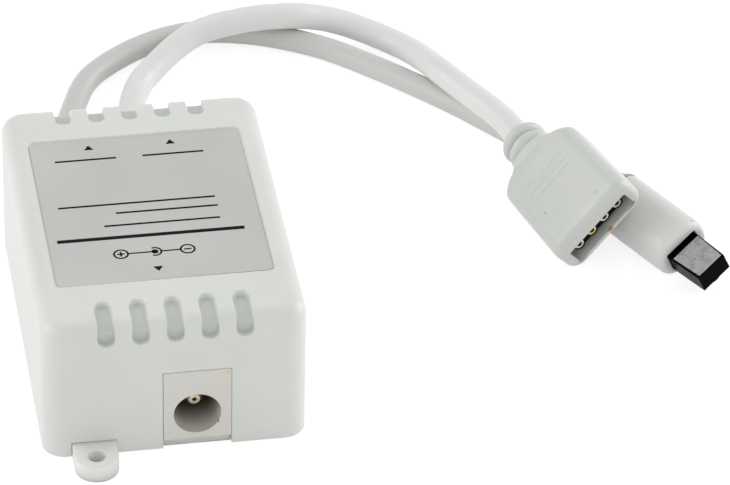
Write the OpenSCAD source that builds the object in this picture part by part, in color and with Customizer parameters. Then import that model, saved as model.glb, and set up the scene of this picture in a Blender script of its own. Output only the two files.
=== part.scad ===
// Small control box for a strip of lights: a ribbed cover over a base plate with two
// fixing ears, a round power socket in front and two cables at the back. One cable
// ends in a flat four way socket, the other in the head of a remote receiver.
// The origin is the middle of the underside, +X right, +Y to the cables, +Z up.

/* [Cover] */
// Width of the cover
case_w = 35; // [34:0.5:44]
// Length of the cover, from the power socket's face to the cable end
case_l = 50.7; // [50:0.1:64]
// Height of the cover
case_h = 20.9; // [19.5:0.1:30]
// Thickness of the cover's walls
wall_t = 1.8; // [1.6:0.1:2.2]
// Thickness of the cover's roof
roof_t = 1.8; // [1.4:0.1:2.4]
// Radius of the cover's upright corners
corner_r = 3; // [2.6:0.1:5]
// Radius of the cover's top edge
top_edge_r = 1.6; // [1:0.1:2.4]

/* [Grooves] */
// Number of grooves at each end
groove_n = 5; // [1:1:6]
// Distance from groove to groove
groove_pitch = 4.55; // [3:0.05:5]
// Width of a groove
groove_w = 2.2; // [1.4:0.1:2.6]
// Depth of a groove
groove_depth = 0.75; // [0.3:0.05:0.9]
// Reach of a front groove along the roof
front_reach = 5.4; // [3:0.05:7]
// Reach of a rear groove along the roof
rear_reach = 4.6; // [3:0.05:7]
// Reach of a groove down the wall
groove_drop = 3.25; // [2.5:0.05:6]

/* [Label] */
// Width of the recess for the label
recess_w = 29.1; // [24:0.1:30]
// Length of the recess for the label
recess_l = 33; // [26:0.1:36]
// Depth of the recess
recess_depth = 0.3; // [0.2:0.05:0.6]
// Corner radius of the recess
recess_r = 1; // [0.6:0.1:2]
// Place of the recess on the roof, right and back from the middle
recess_place = [-0.1, 0.5];
// Gap between the label and the edge of its recess
label_gap = 0.25; // [0.15:0.05:1]
// Thickness of the label
label_t = 0.12; // [0.05:0.01:0.2]
// How far the label is turned, in degrees
label_turn = 0.35; // [0:0.05:0.5]

/* [Base plate] */
// Thickness of the base plate
base_t = 1.4; // [1:0.1:2]
// Gap between the base plate and the cover
base_gap = 0.15; // [0.1:0.05:0.3]
// Width of a fixing ear
ear_w = 5.8; // [5:0.1:7]
// Thickness of a fixing ear
ear_t = 2.15; // [1.5:0.05:3]
// Bore of a fixing ear
ear_bore_d = 2.4; // [2:0.1:3.2]
// Distance of an ear's hole from the cover's side
ear_in = 6.6; // [5.8:0.1:7.5]
// How far the ear's hole lies outside the cover
ear_out = 2.95; // [2.5:0.05:5]
// Diameter of a post that carries the circuit board
post_d = 3.2; // [2.6:0.1:4]
// Diameter of the peg on a post
peg_d = 1.6; // [1.2:0.1:2]
// Height of the guide tongues along the sides
tongue_h = 8; // [5:0.5:10]

/* [Power socket] */
// Width of the socket body
jack_w = 9; // [8.5:0.1:10]
// Height of the socket body
jack_h = 11; // [10.5:0.1:12]
// Length of the socket body
jack_l = 14.2; // [13.5:0.1:16]
// Sideways place of the socket
jack_x = 2.8; // [0:0.1:3.4]
// Bore of the socket
jack_bore_d = 6.3; // [6.1:0.1:6.5]
// Depth of the bore
jack_bore_l = 10; // [9.5:0.1:10.5]
// Height of the bore's axis above the socket's underside
jack_bore_z = 4; // [3.8:0.05:4.2]
// Diameter of the centre pin
jack_pin_d = 2.1; // [1.9:0.1:2.5]
// How far the pin's tip lies behind the face
jack_pin_in = 3.1; // [2.9:0.1:4]
// Gap between the socket and the cover
jack_gap = 0.1; // [0.05:0.05:0.3]

/* [Circuit board] */
// Thickness of the circuit board
board_t = 1.6; // [1:0.1:1.6]
// Gap between the board's edge and the cover
board_gap = 0.4; // [0.3:0.1:1]
// Radius of the board's corners
board_r = 1; // [0.8:0.1:2]

/* [Cables] */
// Diameter of the cable to the strip of lights
strip_cable_d = 3.8; // [3.4:0.1:4]
// Sideways place of the strip cable's exit
strip_exit_x = 2.8; // [1.5:0.1:3.5]
// Diameter of the cable to the remote receiver
ir_cable_d = 3.4; // [3:0.1:3.8]
// Sideways place of the receiver cable's exit
ir_exit_x = -7; // [-8:0.1:-5]
// Length of cable jacket inside the case
jacket_in = 11; // [9:0.5:12]
// Thickness of a cable tie
tie_t = 0.9; // [0.6:0.1:1.2]
// Width of a cable tie
tie_w = 2.5; // [2:0.1:3]
// Diameter of the strip cable's wires
strip_wire_d = 1.2; // [1:0.1:1.3]
// Diameter of the receiver cable's wires
ir_wire_d = 1; // [0.8:0.1:1.1]

/* [Strip connector] */
// Width of the connector at its mouth
plug_w = 14.3; // [13.5:0.1:16]
// Width of the connector at its shoulder
plug_rear_w = 13.7; // [13:0.1:15]
// Thickness of the connector
plug_t = 6.1; // [5.8:0.1:7.5]
// Radius of the connector's long edges
plug_edge_r = 2; // [1.2:0.1:2.6]
// Length from the mouth to the shoulder
plug_l = 15; // [13.5:0.5:18]
// Width of the mouth
mouth_w = 10.9; // [10.4:0.1:11.5]
// Height of the mouth
mouth_h = 2.5; // [2.4:0.1:2.8]
// How far the mouth lies below the connector's middle
mouth_drop = 0.7; // [0.6:0.05:0.75]
// How far the contacts lie below the connector's middle
contact_drop = 0.45; // [0.4:0.05:0.6]
// Depth of the mouth
mouth_l = 8; // [7:0.5:9]
// Distance from contact to contact
contact_pitch = 2.54; // [2.5:0.01:2.54]
// Outer diameter of a contact
contact_d = 1.4; // [1.2:0.05:1.5]
// Bore of a contact
contact_bore_d = 0.8; // [0.6:0.05:0.9]
// Place of the mouth's middle on the table, right and back from the origin
plug_place = [63.1, 6.6];
// How far the connector's lower edge stands above the table
plug_lift = 0.3; // [0.1:0.05:0.6]
// Direction of the mouth, in degrees from the front towards the right
plug_heading = 17.4; // [15:0.1:22]
// How far the connector leans on its left edge, in degrees
plug_roll = 43.2; // [41:0.1:48]

/* [Receiver head] */
// Width of the receiver head
head_w = 8.4; // [8:0.1:9]
// Thickness of the receiver head
head_t = 6.7; // [6.5:0.1:7.5]
// Length of the receiver head
head_l = 17.2; // [15:0.2:20]
// Radius of the head's long edges
head_edge_r = 3; // [2:0.1:3]
// Width of the receiver
receiver_w = 5.2; // [5:0.1:5.6]
// Thickness of the receiver without its lens
receiver_t = 3.3; // [3:0.1:3.6]
// How far the receiver stands out of the head
receiver_out = 6.2; // [5.8:0.1:7]
// How deep the receiver sits in the head
receiver_in = 4; // [3:0.5:5]
// Width of the receiver's grey face beside the head
face_w = 4.7; // [4.4:0.1:4.9]
// Length of the receiver's grey face
face_l = 5.1; // [4.6:0.1:5.4]
// Place of the head's front on the table, right and back from the origin
head_place = [74.4, 3.3];
// Direction of the receiver, in degrees from the front towards the right
head_heading = 28.3; // [26:0.1:31]
// How far the head leans, in degrees
head_roll = 26.6; // [24:0.1:31]

/* [Hidden] */
$fn = 48;
hull_fn = 32;
// One overrun serves all cuts
over = 1;

// Colours
cover_white = [0.86, 0.87, 0.85];
jack_white = [0.83, 0.82, 0.79];
label_silver = [0.77, 0.78, 0.77];
cable_white = [0.88, 0.88, 0.87];
board_green = [0.1, 0.36, 0.2];
part_black = [0.09, 0.09, 0.1];
tin = [0.75, 0.75, 0.76];
gold = [0.83, 0.67, 0.3];
strip_wire_colours = ["black", "white", "orange", "red"];
ir_wire_colours = ["red", "black", "yellow"];

// Places that follow from the driving sizes
in_x = case_w / 2 - wall_t;
in_y = case_l / 2 - wall_t;
ceiling_z = case_h - roof_t;
base_x = in_x - base_gap;
base_y = in_y - base_gap;
board_z = base_t + jack_h;
board_top_z = board_z + board_t;
board_w = 2 * (in_x - board_gap);
board_l = 2 * (in_y - board_gap);
jack_face_y = -case_l / 2;
jack_axis_z = base_t + jack_bore_z;
strip_exit_z = base_t + tie_t + strip_cable_d / 2;
ir_exit_z = base_t + tie_t + ir_cable_d / 2;
ear_x = case_w / 2 - ear_in;
ear_y = case_l / 2 + ear_out;

// Base plate details
base_tongue_back = 0.6;
post_side_in = 2;
post_front_in = 2.9;
post_back_in = 6.5;
peg_fit = 0.15;
peg_up = 0.6;
tongue_w = 8;
tongue_t = 1.2;
post_x = base_x - post_side_in;
post_front_y = post_front_in - base_y;
post_back_y = base_y - post_back_in;

// Cover details
notch_gap = 0.25;
ear_notch_gap = 0.15;
pillar_d = 2.4;
pillar_in = 2.2;
pillar_gap = 0.3;
pillar_y_share = 0.26;

// Cable saddles and ties
saddle_fit = 0.05;
saddle_back = 0.3;
saddle_in = 1.2;
tie_in = 2.5;
tie_head_w = 3;
tie_head_h = 2.2;
tie_fit = 0.03;

// Power socket details
flange_l = 3.3;
jack_under_gap = 0.05;
pin_fit = 0.02;
pin_tip_r = 0.3;
pin_eye_d = 0.6;
pin_eye_l = 1.5;
pin_shank_d = 2.6;
rivet_d = 3.6;
rivet_t = 0.5;
spring_w = 2;
spring_t = 0.25;
spring_slot_w = 2.6;
spring_slot_front = 3.6;
spring_slot_back = 11.5;
spring_root = 11;
spring_root_z = 4.6;
// Each point is a distance behind the face and a height above the bore's axis
spring_line = [[spring_root, spring_root_z], [8, 4.3], [6.7, 2.8], [6.2, 2.55],
               [5.7, 2.8], [5.1, 3.55], [4.3, 3.6]];
terminal_t = 0.4;
terminal_gap = 0.1;
terminal_z = 4.2;
switch_foot_l = 0.9;
switch_foot_z = 3.2;
switch_foot_t = 0.2;

// Small outline chips: body width, body length, body height and number of leads a side
chip_h = 1.5;
chip_w = 3.9;
mcu_l = 8.65;
mcu_leads = 7;
memory_l = 4.9;
memory_leads = 4;
chip_lead_pitch = 1.27;
chip_lead_w = 0.42;
chip_lead_t = 0.2;
chip_span = 6;

// Output transistors
transistor_w = 6.6;
transistor_l = 6.1;
transistor_h = 2.3;
tab_w = 5.3;
tab_l = 1;
tab_t = 0.5;
transistor_lead_w = 0.8;
transistor_lead_l = 2.6;
transistor_lead_pitch = 4.6;

// Voltage regulator
regulator_w = 4.5;
regulator_l = 2.5;
regulator_h = 1.5;
regulator_lead_w = 0.5;
regulator_lead_l = 1;
regulator_pitch = 1.5;

// Capacitors
input_cap_d = 6.3;
input_cap_h = 9;
filter_cap_d = 5;
filter_cap_h = 7;
cap_stand = 0.3;
cap_lead_d = 0.6;
cap_lead_pitch = 2.5;
cap_bung_h = 1.2;
cap_bung_in = 0.25;
cap_groove = 0.4;

// Diode and chip resistors and capacitors
diode_w = 2.6;
diode_l = 4.3;
diode_h = 2.2;
diode_tab = 0.5;
chip_part_l = 2;
chip_part_w = 1.25;
resistor_h = 0.5;
chip_cap_h = 0.9;

// Solder joints
joint_d = 1.8;
joint_top_d = 0.7;
joint_h = 0.8;
pad_pitch = 2.54;
wire_pad_share = 0.22;
wire_bend = 5;
wire_end_gap = 0.1;

// Places on the underside of the board. The two chips lie side by side near its middle,
// the small parts in rows behind them, and the large parts along the sides.
part_gap = 0.15;
side_gap = 0.3;
chips_gap = 0.2;
chips_left = 2.2;
chips_half = (chip_span + chips_gap) / 2;
cap_gap = 0.5;
transistor_gap = 0.7;
regulator_gap = 1.3;
tongue_side_x = base_x - tongue_t - side_gap;
column_pitch = chip_part_l + part_gap;
row_pitch = chip_part_w + part_gap;
mcu_at = [-chips_left - chips_half, 0];
memory_at = [chips_half - chips_left, (memory_l - mcu_l) / 2];
transistor_y = (transistor_l + tab_l + transistor_lead_l + transistor_gap) / 2;
transistors_at = [for (side = [-1, 1])
  [tongue_side_x - transistor_w / 2, side * transistor_y]];
regulator_at = [jack_x - jack_w / 2 - part_gap - regulator_w / 2,
                -mcu_l / 2 - regulator_gap - regulator_lead_l - regulator_l / 2];
input_cap_at = [side_gap + input_cap_d / 2 - base_x,
                post_front_y + (post_d + input_cap_d) / 2 + side_gap];
filter_cap_at = [side_gap + filter_cap_d / 2 - base_x,
                 input_cap_at[1] + (input_cap_d + filter_cap_d) / 2 + cap_gap];
diode_at = [tongue_side_x - diode_w / 2,
            post_front_y + post_d / 2 + side_gap + diode_l / 2 + diode_tab];
first_row_y = memory_at[1] + (memory_l + row_pitch + part_gap) / 2;
rear_row_y = mcu_l / 2 + row_pitch;
left_column_x = chip_part_l / 2 - tongue_side_x;
resistors_at = concat(
  [for (column = [0, 1], row = [0, 1])
    [memory_at[0] + column * column_pitch, first_row_y + row * row_pitch]],
  [for (row = [0 : 2]) [left_column_x, row * row_pitch]],
  [[mcu_at[0], rear_row_y]]);
chip_caps_at = concat(
  [for (row = [0, 1]) [memory_at[0] - column_pitch, first_row_y + row * row_pitch]],
  [for (side = [-1, 1]) [mcu_at[0] + side * column_pitch, rear_row_y]],
  [[memory_at[0], rear_row_y]]);

// Connector details
plug_front_in = 0.9;
plug_front_l = 1.3;
shoulder_l = 2;
shoulder_w = 10.9;
neck_w = 7.6;
neck_front_w = 10;
neck_l = 1.8;
rib_n = 2;
rib_l = 1.9;
rib_gap = 0.2;
rib_d = 6.7;
rib_core_d = 5.3;
grip_n = 3;
grip_l = 7.5;
grip_w = 0.35;
grip_depth = 0.12;
grip_pitch = 1.3;
grip_back = 9.6;
contact_n = 4;
ir_wire_n = 3;
insert_recess = 1.1;
insert_lobe_d = 1.9;
insert_bar_h = 1.4;
insert_past = 0.8;
insert_l = mouth_l + insert_past - insert_recess;
insert_foot_l = 1;
insert_foot_h = 2.4;
contact_bore_l = 5;
tail_l = 1.2;
tail_d = 0.7;
chamber_w = 10;
chamber_h = 2.8;
chamber_past = 0.4;
chamber_l = plug_l + chamber_past - mouth_l;
plug_bore_d = 2.9;
wire_gap = 0.15;
plug_wire_d = 0.9;
plug_neck_y = plug_l + shoulder_l + neck_l;
plug_rear_y = plug_neck_y + rib_n * (rib_l + rib_gap);
plug_at = [plug_place[0], plug_place[1],
           (plug_w / 2 - plug_edge_r) * sin(plug_roll)
           + (plug_t / 2 - plug_edge_r) * cos(plug_roll) + plug_edge_r + plug_lift];

// Receiver head details
head_front_in = 0.7;
head_front_l = 0.9;
head_taper_l = 2;
head_taper_w = 6.4;
head_taper_t = 5.2;
head_taper_r = 2.4;
receiver_top = 1.5;
receiver_front_w = 4.9;
face_front_w = 4.2;
face_front_in = 0.1;
face_drop = 0.2;
face_t = 0.15;
lens_d = 4.6;
lens_h = 1.5;
lens_steps = 4;
leg_pitch = 1;
leg_w = 0.5;
leg_t = 0.3;
leg_l = 3;
head_bore_d = 3.2;
head_wire_d = 0.9;
head_draw_l = 6;
head_at = [head_place[0], head_place[1],
           (head_w / 2 - head_edge_r) * sin(head_roll)
           + (head_t / 2 - head_edge_r) * cos(head_roll) + head_edge_r];

// Route of the strip cable between its straight ends, on the table
strip_route = [[2.8, 38, 3.2], [3, 45, 2], [4.3, 52.2, 2], [6.8, 57.5, 2.2], [14.1, 64.1, 4],
               [20.6, 65.3, 5.2], [28.2, 65.4, 5.5], [33.9, 66.3, 4], [38.8, 65.3, 2.6],
               [44.4, 60.5, 2.2], [46.9, 54, 3.9], [48.2, 48.2, 5.6], [50.6, 42.9, 5.9]];
// Route of the receiver cable between its straight ends, on the table
ir_route = [[-7, 38, 3], [-6.5, 44.5, 1.9], [-4.5, 51.5, 1.7], [-1.5, 58.5, 1.7],
            [3.5, 63.5, 1.7], [9.5, 67, 1.7], [16, 68.5, 1.7], [22.5, 67.5, 1.7],
            [28.5, 65, 1.7], [34, 61.5, 1.7], [39, 57, 1.7], [43.5, 52.5, 1.7],
            [49.1, 46.4, 1.7], [53.5, 40.9, 1.8], [57.1, 35.1, 2.4], [60.8, 28.2, 3.5]];
cord_sides = 8;
straight_out = 6;

// Rectangle with round corners, centred
module rounded_rect(w, l, r) {
  square([w - 2 * r, l], center = true);
  square([w, l - 2 * r], center = true);
  for (x = [-1, 1], y = [-1, 1])
    translate([x * (w / 2 - r), y * (l / 2 - r)]) circle(r);
}

module plate(w, l, h, r) {
  linear_extrude(height = h) rounded_rect(w, l, r);
}

// Upright rectangle whose two top corners are round
module arched_rect(w, h, e) {
  translate([-w / 2, 0]) square([w, h - e]);
  translate([e - w / 2, 0]) square([w - 2 * e, h]);
  for (x = [-1, 1]) translate([x * (w / 2 - e), h - e]) circle(e);
}

// Block with round upright corners and a round top edge
module soft_block(w, l, h, r, e) {
  rotate([90, 0, 0]) linear_extrude(height = l - 2 * r, center = true) arched_rect(w, h, e);
  rotate([90, 0, 90]) linear_extrude(height = w - 2 * r, center = true) arched_rect(l, h, e);
  for (x = [-1, 1], y = [-1, 1]) translate([x * (w / 2 - r), y * (l / 2 - r), 0])
    rotate_extrude() {
      square([r, h - e]);
      square([r - e, h]);
      translate([r - e, h - e]) intersection() {
        circle(e);
        square([e, e]);
      }
    }
}

// Cutter for one groove over the rear edge of the roof
module groove_cutter(x, reach) {
  cut = 2 * groove_depth;
  end_y = case_l / 2 - reach + groove_w / 2;
  end_z = case_h - groove_drop + groove_w / 2;
  translate([x - groove_w / 2, end_y, case_h - cut])
    cube([groove_w, case_l / 2 - end_y + over, cut + over]);
  translate([x, end_y, case_h - cut]) cylinder(h = cut + over, d = groove_w);
  translate([x - groove_w / 2, case_l / 2 - cut, end_z])
    cube([groove_w, cut + over, case_h - end_z + over]);
  translate([x, case_l / 2 - cut, end_z]) rotate([-90, 0, 0])
    cylinder(h = cut + over, d = groove_w);
}

module grooves() {
  for (end = [0, 1], i = [0 : groove_n - 1]) mirror([0, end, 0])
    groove_cutter((i - (groove_n - 1) / 2) * groove_pitch, [rear_reach, front_reach][end]);
}

// Downward open notch for a cable in the rear wall
module cable_notch(x, z, d) {
  w = d + 2 * notch_gap;
  translate([x - w / 2, in_y - over, -over]) cube([w, wall_t + 2 * over, z + over]);
  translate([x, in_y - over, z]) rotate([-90, 0, 0])
    cylinder(h = wall_t + 2 * over, d = w);
}

module ear_notch() {
  w = ear_w + 2 * ear_notch_gap;
  translate([ear_x - w / 2, in_y - over, -over])
    cube([w, wall_t + 2 * over, ear_t + ear_notch_gap + over]);
}

module upper_case() {
  color(cover_white) {
    difference() {
      union() {
        difference() {
          soft_block(case_w, case_l, case_h, corner_r, top_edge_r);
          grooves();
        }
        soft_block(case_w - 2 * groove_depth, case_l - 2 * groove_depth,
                   case_h - groove_depth, corner_r - groove_depth,
                   top_edge_r - groove_depth);
      }
      translate([0, 0, -over])
        plate(2 * in_x, 2 * in_y, ceiling_z + over, corner_r - wall_t);
      translate([recess_place[0], recess_place[1], case_h - recess_depth])
        plate(recess_w, recess_l, recess_depth + over, recess_r);
      translate([jack_x - jack_w / 2 - jack_gap, jack_face_y - over, -over])
        cube([jack_w + 2 * jack_gap, wall_t + 2 * over, board_z + jack_gap + over]);
      for (turn = [0, 180]) rotate([0, 0, turn]) ear_notch();
      cable_notch(strip_exit_x, strip_exit_z, strip_cable_d);
      cable_notch(ir_exit_x, ir_exit_z, ir_cable_d);
    }
    for (x = [-1, 1], y = [-1, 1])
      translate([x * (in_x - pillar_in), y * board_l * pillar_y_share,
                 board_top_z + pillar_gap])
        cylinder(h = case_h - roof_t / 2 - board_top_z - pillar_gap, d = pillar_d);
  }
}

module rating_label() {
  color(label_silver)
    translate([recess_place[0], recess_place[1], case_h - recess_depth])
      rotate([0, 0, label_turn])
        plate(recess_w - 2 * label_gap, recess_l - 2 * label_gap, label_t,
              recess_r - label_gap);
}

module ear() {
  difference() {
    union() {
      translate([ear_x - ear_w / 2, base_y - ear_w / 2, 0])
        cube([ear_w, ear_y - base_y + ear_w / 2, ear_t]);
      translate([ear_x, ear_y, 0]) cylinder(h = ear_t, d = ear_w);
    }
    translate([ear_x, ear_y, -over]) cylinder(h = ear_t + 2 * over, d = ear_bore_d);
  }
}

// Block under a cable where it passes the rear wall
module cable_saddle(x, z, d) {
  w = d + 2 * (notch_gap - base_gap);
  from_y = base_y - saddle_in;
  to_y = case_l / 2 - saddle_back;
  difference() {
    translate([x - w / 2, from_y, 0]) cube([w, to_y - from_y, z - d / 4]);
    translate([x, from_y - over, z]) rotate([-90, 0, 0])
      cylinder(h = to_y - from_y + 2 * over, d = d + 2 * saddle_fit);
  }
}

module base_plate() {
  color(cover_white) {
    plate(2 * base_x, 2 * base_y, base_t, corner_r - wall_t - base_gap);
    translate([jack_x - jack_w / 2, jack_face_y + base_tongue_back, 0])
      cube([jack_w, case_l / 2 - base_y - base_tongue_back + over, base_t]);
    for (turn = [0, 180]) rotate([0, 0, turn]) ear();
    for (x = [-1, 1], y = [post_front_y, post_back_y]) translate([x * post_x, y, 0]) {
      cylinder(h = board_z, d = post_d);
      cylinder(h = board_top_z + peg_up, d = peg_d);
    }
    for (x = [-1, 1])
      translate([x * (base_x - tongue_t / 2) - tongue_t / 2, -tongue_w / 2, 0])
        cube([tongue_t, tongue_w, base_t + tongue_h]);
    cable_saddle(strip_exit_x, strip_exit_z, strip_cable_d);
    cable_saddle(ir_exit_x, ir_exit_z, ir_cable_d);
  }
}

module circuit_board() {
  color(board_green) difference() {
    translate([0, 0, board_z]) plate(board_w, board_l, board_t, board_r);
    for (x = [-1, 1], y = [post_front_y, post_back_y])
      translate([x * post_x, y, board_z - over])
        cylinder(h = board_t + 2 * over, d = peg_d + 2 * peg_fit);
  }
}

// Moves to the power socket's bore axis at its face, with +Y into the socket
module at_jack() {
  translate([jack_x, jack_face_y, jack_axis_z]) children();
}

module dc_jack_body() {
  top = board_z - jack_axis_z;
  color(jack_white) at_jack() difference() {
    union() {
      translate([-jack_w / 2, 0, -jack_bore_z]) cube([jack_w, flange_l, jack_h]);
      translate([-jack_w / 2, 0, 0]) cube([jack_w, jack_l, top]);
      rotate([-90, 0, 0]) cylinder(h = jack_l, r = jack_bore_z - jack_under_gap);
    }
    translate([0, -over, 0]) rotate([-90, 0, 0])
      cylinder(h = jack_bore_l + over, d = jack_bore_d);
    rotate([-90, 0, 0]) cylinder(h = jack_l + over, d = pin_shank_d + 2 * pin_fit);
    translate([-spring_slot_w / 2, spring_slot_front, 0])
      cube([spring_slot_w, spring_slot_back - spring_slot_front, top + over]);
  }
}

module dc_jack_centre_pin() {
  r = jack_pin_d / 2;
  color(tin) at_jack() rotate([-90, 0, 0]) difference() {
    union() {
      translate([0, 0, jack_pin_in]) cylinder(h = pin_tip_r, r1 = r - pin_tip_r, r2 = r);
      translate([0, 0, jack_pin_in + pin_tip_r])
        cylinder(h = jack_bore_l - jack_pin_in - pin_tip_r, r = r);
      translate([0, 0, jack_bore_l]) cylinder(h = jack_l - jack_bore_l, d = pin_shank_d);
      translate([0, 0, jack_l]) cylinder(h = rivet_t, d = rivet_d);
    }
    translate([0, 0, jack_pin_in - over]) cylinder(h = pin_eye_l + over, d = pin_eye_d);
  }
}

// Strip of sheet metal whose edge follows a line of points, laid across the socket
module bent_strip(line, w, t) {
  top = [for (p = line) p + [0, t / 2]];
  bottom = [for (i = [len(line) - 1 : -1 : 0]) line[i] - [0, t / 2]];
  translate([w / 2, 0, 0]) rotate([90, 0, -90])
    linear_extrude(height = w) mirror([1, 0]) polygon(concat(top, bottom));
}

module dc_jack_leaf_spring() {
  color(tin) at_jack() bent_strip(spring_line, spring_w, spring_t);
}

module dc_jack_spring_terminal() {
  color(tin) at_jack()
    translate([-spring_w / 2, spring_root + terminal_gap, terminal_z])
      cube([spring_w, spring_slot_back - spring_root - terminal_gap,
            board_z - jack_axis_z - terminal_z]);
}

module dc_jack_switch_terminal() {
  color(tin) at_jack() {
    translate([-spring_w / 2, spring_slot_front, switch_foot_z])
      cube([spring_w, terminal_t, board_z - jack_axis_z - switch_foot_z]);
    translate([-spring_w / 2, spring_slot_front, switch_foot_z])
      cube([spring_w, terminal_t + switch_foot_l, switch_foot_t]);
  }
}

// Moves to a place on the underside of the board
module at_board(place) {
  translate([place[0], place[1], board_z]) mirror([0, 0, 1]) children();
}

module block(w, l, h) {
  translate([-w / 2, -l / 2, 0]) cube([w, l, h]);
}

module microcontroller() {
  color(part_black) at_board(mcu_at) block(chip_w, mcu_l, chip_h);
}

module memory_chip() {
  color(part_black) at_board(memory_at) block(chip_w, memory_l, chip_h);
}

// Leads along both long sides of a chip: a shoulder from the body and a foot to the board
module lead_rows(n) {
  reach = (chip_span - chip_w) / 2;
  for (i = [0 : n - 1], turn = [0, 180]) rotate([0, 0, turn])
    translate([chip_w / 2, (i - (n - 1) / 2) * chip_lead_pitch - chip_lead_w / 2, 0]) {
      translate([0, 0, chip_h / 2]) cube([reach, chip_lead_w, chip_lead_t]);
      translate([reach - chip_lead_t, 0, 0])
        cube([chip_lead_t, chip_lead_w, chip_h / 2 + chip_lead_t]);
    }
}

module chip_leads() {
  color(tin) {
    at_board(mcu_at) lead_rows(mcu_leads);
    at_board(memory_at) lead_rows(memory_leads);
    at_board(regulator_at) for (i = [-1 : 1])
      translate([i * regulator_pitch, regulator_l / 2 + regulator_lead_l / 2, 0])
        block(regulator_lead_w, regulator_lead_l, tab_t);
  }
}

module output_transistors() {
  color(part_black) for (place = transistors_at) at_board(place)
    block(transistor_w, transistor_l, transistor_h);
}

module transistor_tabs() {
  color(tin) for (place = transistors_at) at_board(place) {
    translate([0, (transistor_l + tab_l) / 2, 0]) block(tab_w, tab_l, tab_t);
    for (x = [-1, 1])
      translate([x * transistor_lead_pitch / 2, -(transistor_l + transistor_lead_l) / 2, 0])
        block(transistor_lead_w, transistor_lead_l, tab_t);
  }
}

module voltage_regulator() {
  color(part_black) at_board(regulator_at) block(regulator_w, regulator_l, regulator_h);
}

// Round capacitor that hangs under the board, with the rolled groove near its leads
module round_capacitor(d, h) {
  translate([0, 0, cap_stand]) rotate_extrude() difference() {
    square([d / 2, h]);
    translate([d / 2, cap_bung_h]) circle(d = cap_groove);
    translate([0, -over]) square([d / 2 - 2 * cap_bung_in, over + cap_bung_in]);
  }
}

module input_capacitor() {
  color([0.16, 0.18, 0.24]) at_board(input_cap_at)
    round_capacitor(input_cap_d, input_cap_h);
}

module filter_capacitor() {
  color([0.16, 0.18, 0.24]) at_board(filter_cap_at)
    round_capacitor(filter_cap_d, filter_cap_h);
}

module capacitor_leads() {
  color(tin) for (place = [input_cap_at, filter_cap_at]) at_board(place)
    for (x = [-1, 1]) translate([x * cap_lead_pitch / 2, 0, 0])
      cylinder(h = cap_stand + cap_bung_in, d = cap_lead_d);
}

module protection_diode() {
  color(part_black) at_board(diode_at) {
    block(diode_w, diode_l, diode_h);
    block(diode_w / 2, diode_l + 2 * diode_tab, tab_t);
  }
}

module chip_resistors() {
  color(part_black) for (place = resistors_at) at_board(place)
    block(chip_part_l, chip_part_w, resistor_h);
}

module chip_capacitors() {
  color([0.72, 0.6, 0.45]) for (place = chip_caps_at) at_board(place)
    block(chip_part_l, chip_part_w, chip_cap_h);
}

// Where the wires of a cable meet the board
function wire_pads(x, n) = [for (i = [0 : n - 1])
  [x + (i - (n - 1) / 2) * pad_pitch, board_l * wire_pad_share, board_z]];

module solder_dome() {
  cylinder(h = joint_h, d1 = joint_d, d2 = joint_top_d);
}

module solder_joints() {
  color(tin) translate([0, 0, board_t]) {
    for (p = concat(wire_pads(strip_exit_x, contact_n), wire_pads(ir_exit_x, ir_wire_n)))
      translate(p) solder_dome();
    for (y = [spring_slot_front + terminal_t / 2, spring_root + terminal_gap, jack_l - joint_d])
      translate([jack_x, jack_face_y + y, board_z]) solder_dome();
    for (place = [input_cap_at, filter_cap_at], x = [-1, 1])
      translate([place[0] + x * cap_lead_pitch / 2, place[1], board_z])
        solder_dome();
  }
}

function unit(v) = v / norm(v);
function along(p, i) = unit(p[min(i + 1, len(p) - 1)] - p[max(i - 1, 0)]);
function ring(p, i, d, n, across) =
  let (t = along(p, i), a = unit(cross(t, across)), b = cross(a, t))
    [for (k = [0 : n - 1]) p[i] + d / 2 * (cos(360 * k / n) * a + sin(360 * k / n) * b)];

// Round tube of diameter d along the points p, with n sides; across is never in line with it
module tube(p, d, n, across) {
  last = len(p) - 1;
  rings = [for (i = [0 : last]) each ring(p, i, d, n, across)];
  sides = [for (i = [0 : last - 1], k = [0 : n - 1])
    let (a = i * n + k, b = i * n + (k + 1) % n) each [[a, b, b + n], [a, b + n, a + n]]];
  front = [for (k = [1 : n - 2]) [0, k + 1, k]];
  back = [for (k = [1 : n - 2]) [last * n, last * n + k, last * n + k + 1]];
  polyhedron(points = rings, faces = concat(sides, front, back));
}

// Points of a smooth bend from a to d with the handles b and c
function bend(a, b, c, d, steps) = [for (i = [0 : steps])
  let (t = i / steps, s = 1 - t)
    s * s * s * a + 3 * s * s * t * b + 3 * s * t * t * c + t * t * t * d];

// Offsets of n wires packed in a ring inside a cable, clockwise from a first angle
function wire_ring(n, d, first) = [for (i = [0 : n - 1])
  (d + wire_gap) / 2 / sin(180 / n) * [cos(first + 360 * i / n), 0, sin(first + 360 * i / n)]];

// The ring's places for the wires that run to the pads, from left to right
four_ring = [0, 1, 2, 3];
four_first = 135;
three_ring = [0, 2, 1];
three_first = 210;
wire_steps = 8;

// Wires from the end of a jacket inside the case to their pads, the upper ones bent first
module case_wires(x, z, n, d, starts, order, colours) {
  for (i = [0 : n - 1]) {
    start = starts[order[i]];
    a = [x, case_l / 2 - jacket_in - wire_end_gap, z] + start;
    b = wire_pads(x, n)[i] - [0, 0, wire_end_gap];
    drop = (start[2] > 0) ? wire_bend / 2 : wire_bend;
    color(colours[i])
      tube(bend(a, a - [0, drop, 0], b - [0, 0, wire_bend], b, wire_steps),
           d, cord_sides, [1, 0, 0]);
  }
}

// Straight length of jacket inside the case
module jacket_end(x, z, d) {
  translate([x, case_l / 2 - jacket_in, z]) rotate([-90, 0, 0])
    cylinder(h = jacket_in, d = d);
}

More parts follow.
